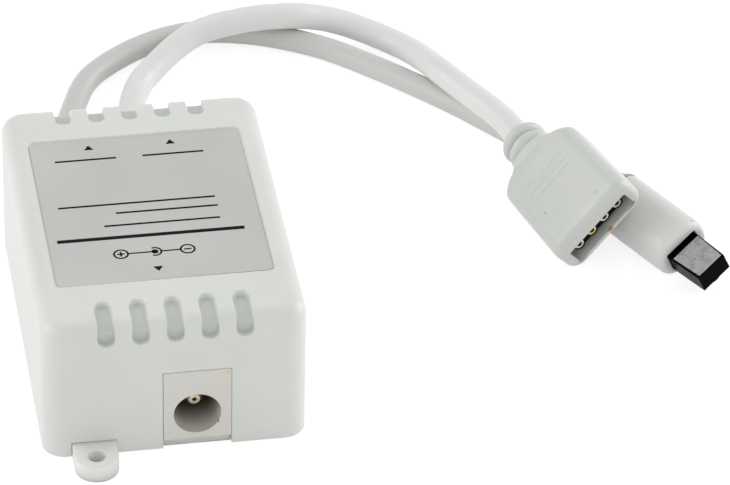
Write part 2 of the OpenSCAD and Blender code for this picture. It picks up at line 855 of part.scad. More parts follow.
module cable_tie(x, z, d) {
  translate([x, in_y - tie_in - tie_w, z]) {
    rotate([-90, 0, 0]) difference() {
      cylinder(h = tie_w, d = d + 2 * tie_t);
      translate([0, 0, -over]) cylinder(h = tie_w + 2 * over, d = d + 2 * tie_fit);
    }
    translate([-tie_head_w / 2, 0, d / 2 + tie_t / 2]) cube([tie_head_w, tie_w, tie_head_h]);
  }
}

// A point on a connector's axis, measured back from its front
function behind(at, heading, back) = at + back * [-sin(heading), cos(heading), 0];

strip_cable_line = concat(
  [[strip_exit_x, case_l / 2, strip_exit_z],
   [strip_exit_x, case_l / 2 + straight_out, strip_exit_z]],
  strip_route,
  [behind(plug_at, plug_heading, plug_rear_y + straight_out),
   behind(plug_at, plug_heading, plug_rear_y)]);

ir_cable_line = concat(
  [[ir_exit_x, case_l / 2, ir_exit_z],
   [ir_exit_x, case_l / 2 + straight_out, ir_exit_z]],
  ir_route,
  [behind(head_at, head_heading, head_l + straight_out),
   behind(head_at, head_heading, head_l)]);

module strip_cable() {
  color(cable_white) tube(strip_cable_line, strip_cable_d, cord_sides, [0, 0, 1]);
}

module strip_cable_inner_end() {
  color(cable_white) jacket_end(strip_exit_x, strip_exit_z, strip_cable_d);
}

module strip_cable_wires() {
  case_wires(strip_exit_x, strip_exit_z, contact_n, strip_wire_d,
             wire_ring(contact_n, strip_wire_d, four_first), four_ring, strip_wire_colours);
}

module strip_cable_tie() {
  color("white") cable_tie(strip_exit_x, strip_exit_z, strip_cable_d);
}

module ir_cable() {
  color(cable_white) tube(ir_cable_line, ir_cable_d, cord_sides, [0, 0, 1]);
}

module ir_cable_inner_end() {
  color(cable_white) jacket_end(ir_exit_x, ir_exit_z, ir_cable_d);
}

module ir_cable_wires() {
  case_wires(ir_exit_x, ir_exit_z, ir_wire_n, ir_wire_d,
             wire_ring(ir_wire_n, ir_wire_d, three_first), three_ring, ir_wire_colours);
}

module ir_cable_tie() {
  color("white") cable_tie(ir_exit_x, ir_exit_z, ir_cable_d);
}

// Moves to the middle of the connector's mouth, with +Y back along it and +X across
module at_plug() {
  translate(plug_at) rotate([0, -plug_roll, plug_heading]) children();
}

// Moves from the connector's middle plane to the plane of its contacts
module at_contacts() {
  translate([0, 0, -contact_drop]) children();
}

// Bar along Y with a round cornered section
module bar(w, t, r, from, to) {
  translate([0, to, 0]) rotate([90, 0, 0])
    linear_extrude(height = to - from) rounded_rect(w, t, r, $fn = hull_fn);
}

// Ring rib round the cable's exit, with a round rim
module rib(from) {
  translate([0, from, 0]) rotate([-90, 0, 0]) rotate_extrude() {
    square([rib_core_d / 2, rib_l + rib_gap]);
    square([(rib_d - rib_l) / 2, rib_l]);
    translate([(rib_d - rib_l) / 2, rib_l / 2]) circle(d = rib_l);
  }
}

module strip_connector_body() {
  thin = plug_front_l / 2;
  color(cover_white) at_plug() difference() {
    union() {
      hull() {
        bar(plug_w - 2 * plug_front_in, plug_t - 2 * plug_front_in,
            plug_edge_r - plug_front_in / 2, 0, thin);
        bar(plug_w, plug_t, plug_edge_r, plug_front_l, 2 * plug_front_l);
        bar(plug_rear_w, plug_t, plug_edge_r, plug_l - thin, plug_l);
      }
      hull() {
        bar(plug_rear_w, plug_t, plug_edge_r, plug_l - thin, plug_l);
        bar(shoulder_w, plug_t - plug_front_in, plug_edge_r, plug_l + shoulder_l - thin,
            plug_l + shoulder_l);
      }
      hull() {
        bar(neck_front_w, plug_t - plug_front_in, plug_edge_r, plug_l + thin,
            plug_l + shoulder_l);
        bar(neck_w, plug_t - plug_front_in, plug_edge_r, plug_neck_y - thin, plug_neck_y);
      }
      for (i = [0 : rib_n - 1]) rib(plug_neck_y + i * (rib_l + rib_gap));
    }
    translate([-mouth_w / 2, -over, -mouth_drop - mouth_h / 2])
      cube([mouth_w, mouth_l + over, mouth_h]);
    at_contacts() translate([-chamber_w / 2, mouth_l - over, -chamber_h / 2])
      cube([chamber_w, chamber_l + over, chamber_h]);
    translate([0, mouth_l, 0]) rotate([-90, 0, 0])
      cylinder(h = plug_rear_y - mouth_l + over, d = plug_bore_d);
    for (i = [0 : grip_n - 1])
      translate([-grip_l / 2, grip_back + i * grip_pitch, plug_t / 2 - grip_depth])
        cube([grip_l, grip_w, grip_depth + over]);
  }
}

function contact_x(i) = (i - (contact_n - 1) / 2) * contact_pitch;

module strip_socket_insert() {
  color(part_black) at_plug() at_contacts() difference() {
    union() {
      for (i = [0 : contact_n - 1]) translate([contact_x(i), insert_recess, 0])
        rotate([-90, 0, 0]) cylinder(h = insert_l, d = insert_lobe_d);
      translate([contact_x(0), insert_recess, -insert_bar_h / 2])
        cube([contact_x(contact_n - 1) - contact_x(0), insert_l, insert_bar_h]);
      translate([-chamber_w / 2, mouth_l - insert_foot_l,
                 contact_drop - mouth_drop - insert_foot_h / 2])
        cube([chamber_w, insert_foot_l, insert_foot_h]);
    }
    for (i = [0 : contact_n - 1]) translate([contact_x(i), 0, 0]) rotate([-90, 0, 0])
      cylinder(h = insert_recess + insert_l + over, d = contact_d + 2 * pin_fit);
  }
}

module strip_socket_contacts() {
  color(gold) at_plug() at_contacts() for (i = [0 : contact_n - 1])
    translate([contact_x(i), insert_recess, 0]) rotate([-90, 0, 0]) {
      difference() {
        cylinder(h = insert_l, d = contact_d);
        translate([0, 0, -over]) cylinder(h = contact_bore_l + over, d = contact_bore_d);
      }
      translate([0, 0, insert_l]) cylinder(h = tail_l, d = tail_d);
    }
}

// Wires inside a connector, along +Y: they draw together, then run straight to the cable
module drawn_wires(from_x, from_y, from_z, meet_y, to_y, d, starts, order, colours) {
  for (i = [0 : len(from_x) - 1]) {
    a = [from_x[i], from_y + wire_end_gap, from_z];
    b = starts[order[i]] + [0, meet_y, 0];
    handle = [0, (meet_y - from_y) / 2, 0];
    line = bend(a, a + handle, b - handle, b, wire_steps);
    color(colours[i])
      tube(concat(line, [b + [0, to_y - meet_y - wire_end_gap, 0]]), d, cord_sides, [0, 0, 1]);
  }
}

module strip_connector_wires() {
  at_plug()
    drawn_wires([for (i = [0 : contact_n - 1]) contact_x(i)],
                insert_recess + insert_l + tail_l, -contact_drop, mouth_l + chamber_l,
                plug_rear_y, plug_wire_d, wire_ring(contact_n, plug_wire_d, four_first), four_ring,
                strip_wire_colours);
}

// Moves to the middle of the head's front, with +Y back along it and +X across
module at_head() {
  translate(head_at) rotate([0, -head_roll, head_heading]) children();
}

module ir_head_body() {
  color(cable_white) at_head() difference() {
    union() {
      hull() {
        bar(head_w - 2 * head_front_in, head_t - 2 * head_front_in,
            head_edge_r - head_front_in, 0, head_front_l / 2);
        bar(head_w, head_t, head_edge_r, head_front_l, head_l - head_taper_l);
      }
      hull() {
        bar(head_w, head_t, head_edge_r, head_l - 2 * head_taper_l, head_l - head_taper_l);
        bar(head_taper_w, head_taper_t, head_taper_r, head_l - head_taper_l / 2, head_l);
      }
    }
    translate([-receiver_w / 2, -over, receiver_top - receiver_t])
      cube([receiver_w, receiver_in + over, receiver_t]);
    translate([0, receiver_in - over, 0]) rotate([-90, 0, 0])
      cylinder(h = head_l - receiver_in + 2 * over, d = head_bore_d);
  }
}

// Plate whose width narrows from the head's front face towards the receiver's tip
module tapered(w, tip_w, back, tip, low, t) {
  translate([0, 0, low]) linear_extrude(height = t)
    polygon([[-w / 2, back], [w / 2, back], [w / 2, 0], [tip_w / 2, -tip],
             [-tip_w / 2, -tip], [-w / 2, 0]]);
}

module ir_receiver() {
  low = receiver_top - receiver_t;
  color(part_black) at_head() {
    hull() {
      tapered(receiver_w, receiver_front_w, receiver_in, receiver_out, low,
              receiver_t - face_t - face_drop);
      tapered(face_w, face_front_w, receiver_in, receiver_out - face_front_in, low,
              receiver_t - face_t);
    }
    translate([0, receiver_front_w / 2 - receiver_out, low])
      hull() {
        cylinder(h = face_t, d = lens_d, $fn = hull_fn);
        for (k = [1 : lens_steps])
          translate([0, 0, -lens_h * sin(90 * k / (lens_steps + 1))])
            cylinder(h = face_t, d = lens_d * cos(90 * k / (lens_steps + 1)), $fn = hull_fn);
      }
  }
}

module ir_receiver_face() {
  tip = receiver_out - face_front_in;
  color([0.55, 0.56, 0.57]) at_head()
    translate([0, 0, receiver_top - face_t]) linear_extrude(height = face_t)
      polygon([[-face_w / 2, face_l - tip], [face_w / 2, face_l - tip],
               [face_front_w / 2, -tip], [-face_front_w / 2, -tip]]);
}

module ir_receiver_legs() {
  color(tin) at_head() for (i = [-1 : 1])
    translate([i * leg_pitch - leg_w / 2, receiver_in, -leg_t / 2])
      cube([leg_w, leg_l, leg_t]);
}

module ir_head_wires() {
  from_y = receiver_in + leg_l;
  at_head()
    drawn_wires([for (i = [-1 : 1]) i * leg_pitch], from_y, 0, from_y + head_draw_l, head_l,
                head_wire_d, wire_ring(ir_wire_n, head_wire_d, three_first), three_ring,
                ir_wire_colours);
}

upper_case();
rating_label();
base_plate();
circuit_board();
dc_jack_body();
dc_jack_centre_pin();
dc_jack_leaf_spring();
dc_jack_spring_terminal();
dc_jack_switch_terminal();
microcontroller();
memory_chip();
chip_leads();
output_transistors();
transistor_tabs();
voltage_regulator();
input_capacitor();
filter_capacitor();
capacitor_leads();
protection_diode();
chip_resistors();
chip_capacitors();
solder_joints();
strip_cable();
strip_cable_inner_end();
strip_cable_wires();
strip_cable_tie();
ir_cable();
ir_cable_inner_end();
ir_cable_wires();
ir_cable_tie();
strip_connector_body();
strip_socket_insert();
strip_socket_contacts();
strip_connector_wires();
ir_head_body();
ir_receiver();
ir_receiver_face();
ir_receiver_legs();
ir_head_wires();
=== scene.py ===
# %% [markdown]
# # Dressing a small control box for light strips
#
# The solids of the part come from a fixed frame: a ribbed cover, a base plate, a round
# power socket, a board with its parts and two cables. This notebook gives them the look of
# the real thing. Pieces that need softer edges than the solids have are worked out as
# surfaces with numpy, and stand for their solids. The others keep their solids and only get
# a finish. All lengths are written in millimetres and turned into metres when a mesh is made.

import bpy
import numpy as np
from mathutils import Matrix, Vector


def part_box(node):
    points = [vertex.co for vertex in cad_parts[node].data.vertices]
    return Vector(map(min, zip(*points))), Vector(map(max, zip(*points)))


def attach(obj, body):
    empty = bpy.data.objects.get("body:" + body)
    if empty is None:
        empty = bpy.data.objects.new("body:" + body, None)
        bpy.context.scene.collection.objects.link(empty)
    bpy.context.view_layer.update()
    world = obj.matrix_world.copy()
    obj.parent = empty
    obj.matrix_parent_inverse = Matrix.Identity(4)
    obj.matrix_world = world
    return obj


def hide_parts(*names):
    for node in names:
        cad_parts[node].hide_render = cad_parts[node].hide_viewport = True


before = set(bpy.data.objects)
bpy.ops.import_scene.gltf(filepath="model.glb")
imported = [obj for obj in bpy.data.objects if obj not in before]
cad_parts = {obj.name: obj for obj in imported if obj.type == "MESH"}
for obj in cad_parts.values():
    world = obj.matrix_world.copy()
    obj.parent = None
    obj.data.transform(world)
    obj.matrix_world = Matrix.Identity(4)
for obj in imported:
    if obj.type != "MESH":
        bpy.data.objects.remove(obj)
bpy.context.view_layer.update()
MM = 0.001


def add_object(name, data):
    """A new object in the scene for a mesh, a lamp or a camera."""
    made = bpy.data.objects.new(name, data)
    bpy.context.scene.collection.objects.link(made)
    return made


# %% [markdown]
# ## Camera
#
# The box was photographed from slightly left of its front, about 36 degrees above the
# table, with a long lens. A camera is a point and three directions: to the right, up and
# back. They follow from two turns and a small roll, so they are worked out with sines and
# cosines instead of being typed as a matrix.

# %% Camera
AZIMUTH, ELEVATION, ROLL = np.radians([-10.18, 36.35, 1.33])
CAMERA_DISTANCE = 710
AIM_RIGHT, AIM_UP = 28.975, 12.132
PIXELS_PER_MM, PHOTO_WIDTH = 7.373, 730
SENSOR_WIDTH = 36

level_right = np.array([np.cos(AZIMUTH), np.sin(AZIMUTH), 0])
back = np.array([np.sin(AZIMUTH) * np.cos(ELEVATION), -np.cos(AZIMUTH) * np.cos(ELEVATION),
                 np.sin(ELEVATION)])
level_up = np.cross(back, level_right)
right = np.cos(ROLL) * level_right + np.sin(ROLL) * level_up
up = np.cos(ROLL) * level_up - np.sin(ROLL) * level_right
place = back * CAMERA_DISTANCE + right * AIM_RIGHT + up * AIM_UP

lens = bpy.data.cameras.new("camera")
lens.sensor_width = SENSOR_WIDTH
lens.lens = SENSOR_WIDTH * PIXELS_PER_MM * CAMERA_DISTANCE / PHOTO_WIDTH
camera = add_object("camera", lens)
turned = np.eye(4)
turned[:3] = np.column_stack([right, up, back, place * MM])
camera.matrix_world = Matrix(turned.tolist())
bpy.context.scene.camera = camera
print("camera at", (place * MM).round(3), "lens", round(lens.lens, 1))

# %% [markdown]
# ## Helpers for surfaces
#
# Every new surface here is a grid: rows of points, joined to their neighbours by faces with
# four corners. A grid can be a carpet, a tube whose rows close on themselves, or a tube with
# its ends drawn together in a point. One function numbers the corners, another puts the
# arrays into a mesh in one go, which is much faster than adding points one by one.

# %% Grid and mesh helpers
def grid_faces(rows, columns, closed=False):
    """Corner numbers of a grid's faces: row i, column j; then the next column, and the same
    two in the next row. A closed grid joins its last column to its first."""
    i, j = np.mgrid[0:rows - 1, 0:columns - (0 if closed else 1)]
    k = (j + 1) % columns
    corners = [i * columns + j, i * columns + k, (i + 1) * columns + k, (i + 1) * columns + j]
    return np.stack(corners, axis=-1).reshape(-1, 4)


def fan_faces(first, count, hub, flip=False):
    """Triangles from each pair of neighbours in a closed row of points to one hub point."""
    k = np.arange(count)
    pair = [first + k, first + (k + 1) % count]
    if flip:
        pair.reverse()
    return np.stack(pair + [np.full(count, hub)], axis=-1)


def joined(parts):
    """Points and faces of several parts as one: each part's corners are numbered on from the
    points before it."""
    points, faces, start = [], [], 0
    for part_points, part_faces in parts:
        points.append(part_points)
        faces += [f + start for f in part_faces]
        start += len(part_points)
    return np.concatenate(points), faces


def as_piece(name, mesh, finish, body, smooth_angle):
    """An object for a mesh, with its finish, riding on a body. Edges sharper than
    smooth_angle degrees stay hard, and all others are shaded smooth."""
    mesh.shade_smooth()
    mesh.set_sharp_from_angle(angle=np.radians(smooth_angle))
    mesh.materials.clear()
    mesh.materials.append(finish.material)
    piece = add_object(name, mesh)
    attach(piece, body)
    print(f"{name}: {len(mesh.vertices)} points, {len(mesh.polygons)} faces")
    return piece


def make_piece(name, points, faces, finish, body, smooth_angle):
    """A piece from points in millimetres and arrays of faces."""
    mesh = bpy.data.meshes.new(name)
    mesh.from_pydata(np.asarray(points) * MM, [], [face for f in faces for face in f.tolist()])
    mesh.validate()
    return as_piece(name, mesh, finish, body, smooth_angle)


def smoothstep(x, low, high):
    """Rises from 0 at low to 1 at high as 3 t squared minus 2 t cubed."""
    t = np.clip((x - low) / (high - low), 0, 1)
    return t * t * (3 - 2 * t)

# %% [markdown]
# ## Helpers for finishes
#
# A finish is a shader with a little life in it. Plastic is never one flat colour: it has
# faint clouds, a fine moulded grain, and here and there a rubbed spot. All patterns read
# the object's own coordinates, in metres, so a pattern of one millimetre has a scale of
# one thousand. Values that are the same all over are set on the shader itself.

# %% Finish helpers
def paint(red, green, blue):
    """A screen colour from 0 to 1 as the linear colour that shaders take: below 0.04045 it
    is divided by 12.92, above that it is ((c + 0.055) / 1.055) to the power 2.4."""
    c = np.array([red, green, blue])
    linear = np.where(c <= 0.04045, c / 12.92, ((c + 0.055) / 1.055) ** 2.4)
    return (*linear.tolist(), 1.0)


def add_node(tree, kind, inputs, **settings):
    """A new node with its settings. An output among the inputs is linked, and anything else
    is set as the input's value."""
    made = tree.nodes.new(kind)
    for key, value in settings.items():
        setattr(made, key, value)
    for key, value in inputs.items():
        if isinstance(value, bpy.types.NodeSocket):
            tree.links.new(value, made.inputs[key])
        else:
            made.inputs[key].default_value = value
    return made


class Finish:
    """A material and the few node steps that the finishes below are put together from."""

    def __init__(self, name, **values):
        self.material = bpy.data.materials.new(name)
        self.material.use_nodes = True
        self.tree = self.material.node_tree
        self.shader = self.tree.nodes["Principled BSDF"]
        for socket, value in values.items():
            self.shader.inputs[socket.replace("_", " ")].default_value = value
        self.where = self.node("ShaderNodeTexCoord", {}).outputs["Object"]

    def node(self, kind, inputs, **settings):
        return add_node(self.tree, kind, inputs, **settings)

    def shade(self, socket, output):
        """Links an output to an input of the shader."""
        self.tree.links.new(output, self.shader.inputs[socket])

    def noise(self, size_mm, detail=2, stretch=None):
        """Soft random clouds about size_mm across, between 0 and 1."""
        source = self.where
        if stretch:
            source = self.node("ShaderNodeMapping",
                               {"Vector": source, "Scale": stretch}).outputs["Vector"]
        return self.node("ShaderNodeTexNoise", {"Vector": source, "Detail": detail,
                                                "Scale": 1 / (size_mm * MM)}).outputs["Fac"]

    def band(self, value, low, high, to_low=0.0, to_high=1.0):
        """value is spread from low..high to to_low..to_high, and held at the ends."""
        return self.node("ShaderNodeMapRange",
                         {"Value": value, "From Min": low, "From Max": high,
                          "To Min": to_low, "To Max": to_high}).outputs["Result"]

    def blend(self, share, one, other):
        """A colour between one, where share is 0, and other, where it is 1. Each is a
        screen colour or an output."""
        one, other = (paint(*c) if isinstance(c, tuple) else c for c in (one, other))
        return self.node("ShaderNodeMix", {"Factor": share, 6: one, 7: other},
                         data_type="RGBA").outputs[2]

    def apart(self, spot_mm, axes=(1, 1, 1)):
        """Distance to a spot, along the axes whose number is 1."""
        kept = self.node("ShaderNodeVectorMath", {0: self.where, 1: axes}, operation="MULTIPLY")
        spot = [c * MM * on for c, on in zip(spot_mm, axes)]
        return self.node("ShaderNodeVectorMath", {0: kept.outputs["Vector"], 1: spot},
                         operation="DISTANCE").outputs["Value"]

    def tint(self, share, colour):
        """Turns the colour so far towards another one by the share."""
        so_far = self.shader.inputs["Base Color"].links[0].from_socket
        self.shade("Base Color", self.blend(share, so_far, colour))

    def stain_and_reflection_spot(self, spot_mm, size_mm, colour, strength):
        """A small spot of tint, used for stains and for a painted reflection: whole up to 0.4 of
        its size and gone at its size.
        """
        self.tint(self.band(self.apart(spot_mm), 0.4 * size_mm * MM, size_mm * MM, strength, 0),
                  colour)

    def tints(self, light, dark, size_mm, detail=2, low=0.3, high=0.7):
        """The colour: two tints that give way to each other where clouds of size_mm pass
        from one level to another."""
        clouds = self.band(self.noise(size_mm, detail), low, high)
        self.shade("Base Color", self.blend(clouds, light, dark))
        return self

    def sheen(self, size_mm, detail, low, high):
        """The roughness: it wanders between two values in clouds."""
        self.shade("Roughness", self.band(self.noise(size_mm, detail), 0.3, 0.7, low, high))

    def bump(self, *heights):
        """Raises the surface by each height map times its depth in millimetres."""
        below = {}
        for value, depth_mm in heights:
            made = self.node("ShaderNodeBump",
                             {"Height": value, "Distance": depth_mm * MM, **below})
            below = {"Normal": made.outputs["Normal"]}
        self.shade("Normal", below["Normal"])

# %% [markdown]
# ## White plastics
#
# The cover, the base plate, the cables and the connectors are all white, but not the same
# white. The cover is a hard moulded plastic with a fine spark-worn grain, slightly green.
# The base plate lets a little light through, so its thin ear glows at the edge. The power
# socket is a warmer white. The cables are soft and smoother, and the overmoulded ends are
# between the two. One function makes them all: two close tints drift into each other, the
# sheen varies, and a fine grain lies on top. The grooves get painted shade, darker than the
# faces and more so towards their lower ends. The socket's bore gets painted shade that
# deepens inwards, and small stains sit where they would on the real thing.

# %% White plastics
def white_plastic(name, light, dark, rough, grain_mm, grain_depth_mm, cloud_mm=9, **values):
    """Two tints mixed by clouds, gloss that varies by a few hundredths, and two sizes of
    grain as bumps."""
    made = Finish(name, IOR=1.5, **values).tints(light, dark, cloud_mm, 3)
    made.sheen(2.5, 2, rough - 0.04, rough + 0.05)
    made.bump((made.noise(grain_mm * 6), grain_depth_mm * 2),
              (made.noise(grain_mm), grain_depth_mm))
    return made


cover_white = white_plastic("moulded cover", (0.9, 0.905, 0.89), (0.88, 0.89, 0.872), 0.42,
                            0.25, 0.006)
base_white = white_plastic("moulded base", (0.93, 0.93, 0.92), (0.915, 0.915, 0.9), 0.46, 0.3,
                           0.006, Subsurface_Weight=0.8, Subsurface_Radius=(1, 1, 1),
                           Subsurface_Scale=2.5 * MM)
socket_white = white_plastic("socket housing", (0.89, 0.88, 0.855), (0.87, 0.86, 0.83), 0.38,
                             0.2, 0.004)
cable_white = white_plastic("strip cable jacket", (0.92, 0.92, 0.915), (0.9, 0.9, 0.895), 0.36,
                            0.4, 0.006, 14)
grey_cable_white = white_plastic("receiver cable jacket", (0.82, 0.82, 0.81),
                                 (0.8, 0.805, 0.79), 0.38, 0.4, 0.006, 14)
plug_white = white_plastic("connector overmould", (0.835, 0.845, 0.825), (0.815, 0.83, 0.805),
                           0.34, 0.35, 0.005)
head_white = white_plastic("receiver overmould", (0.88, 0.88, 0.87), (0.86, 0.86, 0.85), 0.36,
                           0.35, 0.005)
nylon_white = white_plastic("tie nylon", (0.93, 0.93, 0.9), (0.9, 0.9, 0.87), 0.5, 0.2, 0.004)

# The cover's grooves get painted shade: a darker tint by a number that each point of the cover
# carries
groove_shade_node = cover_white.node("ShaderNodeAttribute", {}, attribute_name="groove_shade")
cover_white.tint(groove_shade_node.outputs["Fac"], (0.76, 0.78, 0.76))

# The socket's bore gets painted shade, browner and darker the deeper it goes
BORE_X, BORE_Z, BORE_R, FACE_Y = 2.8, 5.42, 3.15, -25.35
LIT_DEPTH, BORE_SHADE_DEPTH, BORE_SHADE_SHARE = 1.2, 6, 0.9
EDGE_FROM, EDGE_TO = 0.02, 0.06
deep = socket_white.band(socket_white.apart((0, FACE_Y, 0), (0, 1, 0)), LIT_DEPTH * MM,
                         BORE_SHADE_DEPTH * MM, 0, BORE_SHADE_SHARE)
inside = socket_white.band(socket_white.apart((BORE_X, 0, BORE_Z), (1, 0, 1)),
                           (BORE_R + EDGE_FROM) * MM, (BORE_R + EDGE_TO) * MM, 1, 0)
bore_shade = socket_white.node("ShaderNodeMath", {0: deep, 1: inside}, operation="MULTIPLY")
socket_white.tint(bore_shade.outputs[0], (0.24, 0.21, 0.15))

# Stains: the spot, its size, its colour and how strong it is
socket_white.stain_and_reflection_spot((6.8, FACE_Y, 11.85), 0.5, (0.83, 0.83, 0.52), 0.7)
socket_white.stain_and_reflection_spot((5.55, FACE_Y, 3.85), 0.2, (0.2, 0.17, 0.14), 0.9)
plug_white.stain_and_reflection_spot((56.36, 11.4, 6.1), 0.35, (0.6, 0.6, 0.58), 0.5)
plug_white.stain_and_reflection_spot((62.76, 8.6, 11.05), 0.5, (0.7, 0.7, 0.68), 0.4)
plug_white.stain_and_reflection_spot((64.83, 7.16, 5.56), 0.6, (0.74, 0.5, 0.2), 0.9)
head_white.stain_and_reflection_spot((75.64, 4.84, 7.5), 0.28, (0.5, 0.5, 0.48), 0.6)
print("materials so far:", len(bpy.data.materials))

# %% [markdown]
# ## Free cables
#
# Two cables leave the back of the box and lie on the table in one loose bow. The thicker
# one goes to the strip of lights and rides over the other just before its connector. A
# cable is a circle carried along a path. The path is a smooth curve through a few given
# points, the same points that the solids follow.

# %% Paths through points
def run_along(points):
    """The length from the first point of a line to each of its points."""
    steps = np.linalg.norm(np.diff(points, axis=0), axis=1)
    return np.concatenate([[0], np.cumsum(steps)])


def thinned(values, least):
    """Sorted values without those that follow the one before by no more than least."""
    return values[np.concatenate([[True], np.diff(values) > least])]


def smooth_path(corners, step):
    """A curve through the corners (Catmull-Rom with chord lengths as its clock): between two
    corners each coordinate is a cubic whose end slopes are the slopes seen over the
    neighbours. It is cut into pieces of about step."""
    p = np.asarray(corners, float)
    clock = run_along(p)
    slope = np.empty_like(p)
    slope[1:-1] = (p[2:] - p[:-2]) / (clock[2:] - clock[:-2])[:, None]
    slope[0], slope[-1] = (p[1] - p[0]) / clock[1], (p[-1] - p[-2]) / (clock[-1] - clock[-2])
    at = np.linspace(0, clock[-1], int(round(clock[-1] / step)) + 1)
    k = np.clip(np.searchsorted(clock, at, side="right") - 1, 0, len(p) - 2)
    gap = (clock[k + 1] - clock[k])[:, None]
    t = (at[:, None] - clock[k][:, None]) / gap
    return ((2 * t**3 - 3 * t**2 + 1) * p[k] + (t**3 - 2 * t**2 + t) * gap * slope[k]
            + (3 * t**2 - 2 * t**3) * p[k + 1] + (t**3 - t**2) * gap * slope[k + 1])


def behind(at, heading, distance):
    """The point on a connector's axis that lies that far behind its front."""
    turn = np.radians(heading)
    return np.asarray(at, float) + distance * np.array([-np.sin(turn), np.cos(turn), 0])


def rings_along(path, radius, sides, skin):
    """Circles square to the path: each has the path's direction, a level direction across
    it, and the third one. skin(s, angle) is added to the radius at a length s."""
    along = np.gradient(path, axis=0)
    along /= np.linalg.norm(along, axis=1)[:, None]
    across = np.cross(along, [0, 0, 1])
    across /= np.linalg.norm(across, axis=1)[:, None]
    upward = np.cross(across, along)
    angle = np.linspace(0, 2 * np.pi, sides, endpoint=False)
    reach = radius + skin(run_along(path)[:, None], angle[None, :])
    ring = (np.cos(angle)[None, :, None] * across[:, None, :]
            + np.sin(angle)[None, :, None] * upward[:, None, :])
    return path[:, None, :] + reach[:, :, None] * ring

# %% Routes
CASE_BACK_Y, STRAIGHT_OUT, PATH_STEP = 25.35, 6, 0.4
STRIP_EXIT, STRIP_D = np.array([2.8, CASE_BACK_Y, 4.2]), 3.8
IR_EXIT, IR_D = np.array([-7, CASE_BACK_Y, 4.0]), 3.4
PLUG_W, PLUG_T, PLUG_R, PLUG_HEADING, PLUG_ROLL, PLUG_LIFT = 14.3, 6.1, 2.0, 17.4, 43.2, 0.3
HEAD_W, HEAD_T, HEAD_L, HEAD_R, HEAD_HEADING, HEAD_ROLL = 8.4, 6.7, 17.2, 3.0, 28.3, 26.6
PLUG_REAR = 23.0


def lying_height(width, thickness, radius, roll):
    """How high the axis of a bar with round edges lies when it leans by roll on the table."""
    turn = np.radians(roll)
    return ((width / 2 - radius) * np.sin(turn) + (thickness / 2 - radius) * np.cos(turn)
            + radius)


PLUG_AT = np.array([63.1, 6.6, lying_height(PLUG_W, PLUG_T, PLUG_R, PLUG_ROLL) + PLUG_LIFT])
HEAD_AT = np.array([74.4, 3.3, lying_height(HEAD_W, HEAD_T, HEAD_R, HEAD_ROLL)])

strip_route = [[2.8, 38, 3.2], [3, 45, 2], [4.3, 52.2, 2], [6.8, 57.5, 2.2], [14.1, 64.1, 4],
               [20.6, 65.3, 5.2], [28.2, 65.4, 5.5], [33.9, 66.3, 4], [38.8, 65.3, 2.6],
               [44.4, 60.5, 2.2], [46.9, 54, 3.9], [48.2, 48.2, 5.6], [50.6, 42.9, 5.9]]
ir_route = [[-7, 38, 3], [-6.5, 44.5, 1.9], [-4.5, 51.5, 1.7], [-1.5, 58.5, 1.7],
            [3.5, 63.5, 1.7], [9.5, 67, 1.7], [16, 68.5, 1.7], [22.5, 67.5, 1.7],
            [28.5, 65, 1.7], [34, 61.5, 1.7], [39, 57, 1.7], [43.5, 52.5, 1.7],
            [49.1, 46.4, 1.7], [53.5, 40.9, 1.8], [57.1, 35.1, 2.4], [60.8, 28.2, 3.5]]


def cable_path(start, route, at, heading, rear):
    """Straight out of the case, along the route, and straight into the far piece."""
    return smooth_path([start, start + [0, STRAIGHT_OUT, 0], *route,
                        behind(at, heading, rear + STRAIGHT_OUT), behind(at, heading, rear)],
                       PATH_STEP)


strip_path = cable_path(STRIP_EXIT, strip_route, PLUG_AT, PLUG_HEADING, PLUG_REAR)
ir_path = cable_path(IR_EXIT, ir_route, HEAD_AT, HEAD_HEADING, HEAD_L)
print("points on the paths:", len(strip_path), len(ir_path))

# %% Cable jackets
RIPPLE, RIPPLE_L, TWIST_L = 0.012, 2.9, 31
NICK_DEPTH, NICK_L, NICK_TURN = 0.12, 0.5, 0.35
CABLE_SIDES = 32


def make_cable(name, path, diameter, finish, nick_at, nick_angle):
    """A jacket with a very slight ripple along its length and one small nick in its skin."""
    def skin(length, angle):
        ripple = RIPPLE * np.sin(length / RIPPLE_L) * np.cos(angle + length / TWIST_L)
        away = ((length - nick_at) / NICK_L) ** 2 + ((angle - nick_angle) / NICK_TURN) ** 2
        return ripple - NICK_DEPTH * np.exp(-away)
    rings = rings_along(path, diameter / 2, CABLE_SIDES, skin)
    points = np.concatenate([rings.reshape(-1, 3), path[:1], path[-1:]])
    count = len(path) * CABLE_SIDES
    faces = [grid_faces(len(path), CABLE_SIDES, closed=True)[:, ::-1],
             fan_faces(0, CABLE_SIDES, count),
             fan_faces(count - CABLE_SIDES, CABLE_SIDES, count + 1, flip=True)]
    return make_piece(name, points, faces, finish, "base", 60)


strip_cable = make_cable("strip_cable_jacket", strip_path, STRIP_D, cable_white, 50.0, 2.2)
ir_cable = make_cable("receiver_cable_jacket", ir_path, IR_D, grey_cable_white, 78.0, 1.9)
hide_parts("strip_cable")
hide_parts("ir_cable")

# %% [markdown]
# ## Cover
#
# The cover is a shell with round edges, five grooves over each end and a shallow recess for
# the label. A box of cubes with edges cut in would look machined. Here the outer skin is
# one grid: a roof whose corners are drawn round, and walls that hang from its edge. Each
# point then sinks into the surface by a depth that is a smooth function of its distance to
# the nearest groove, recess or opening, so every edge comes out soft. The inner skin uses
# the same grid, and where an opening leaves faces out, a rim joins the two skins.

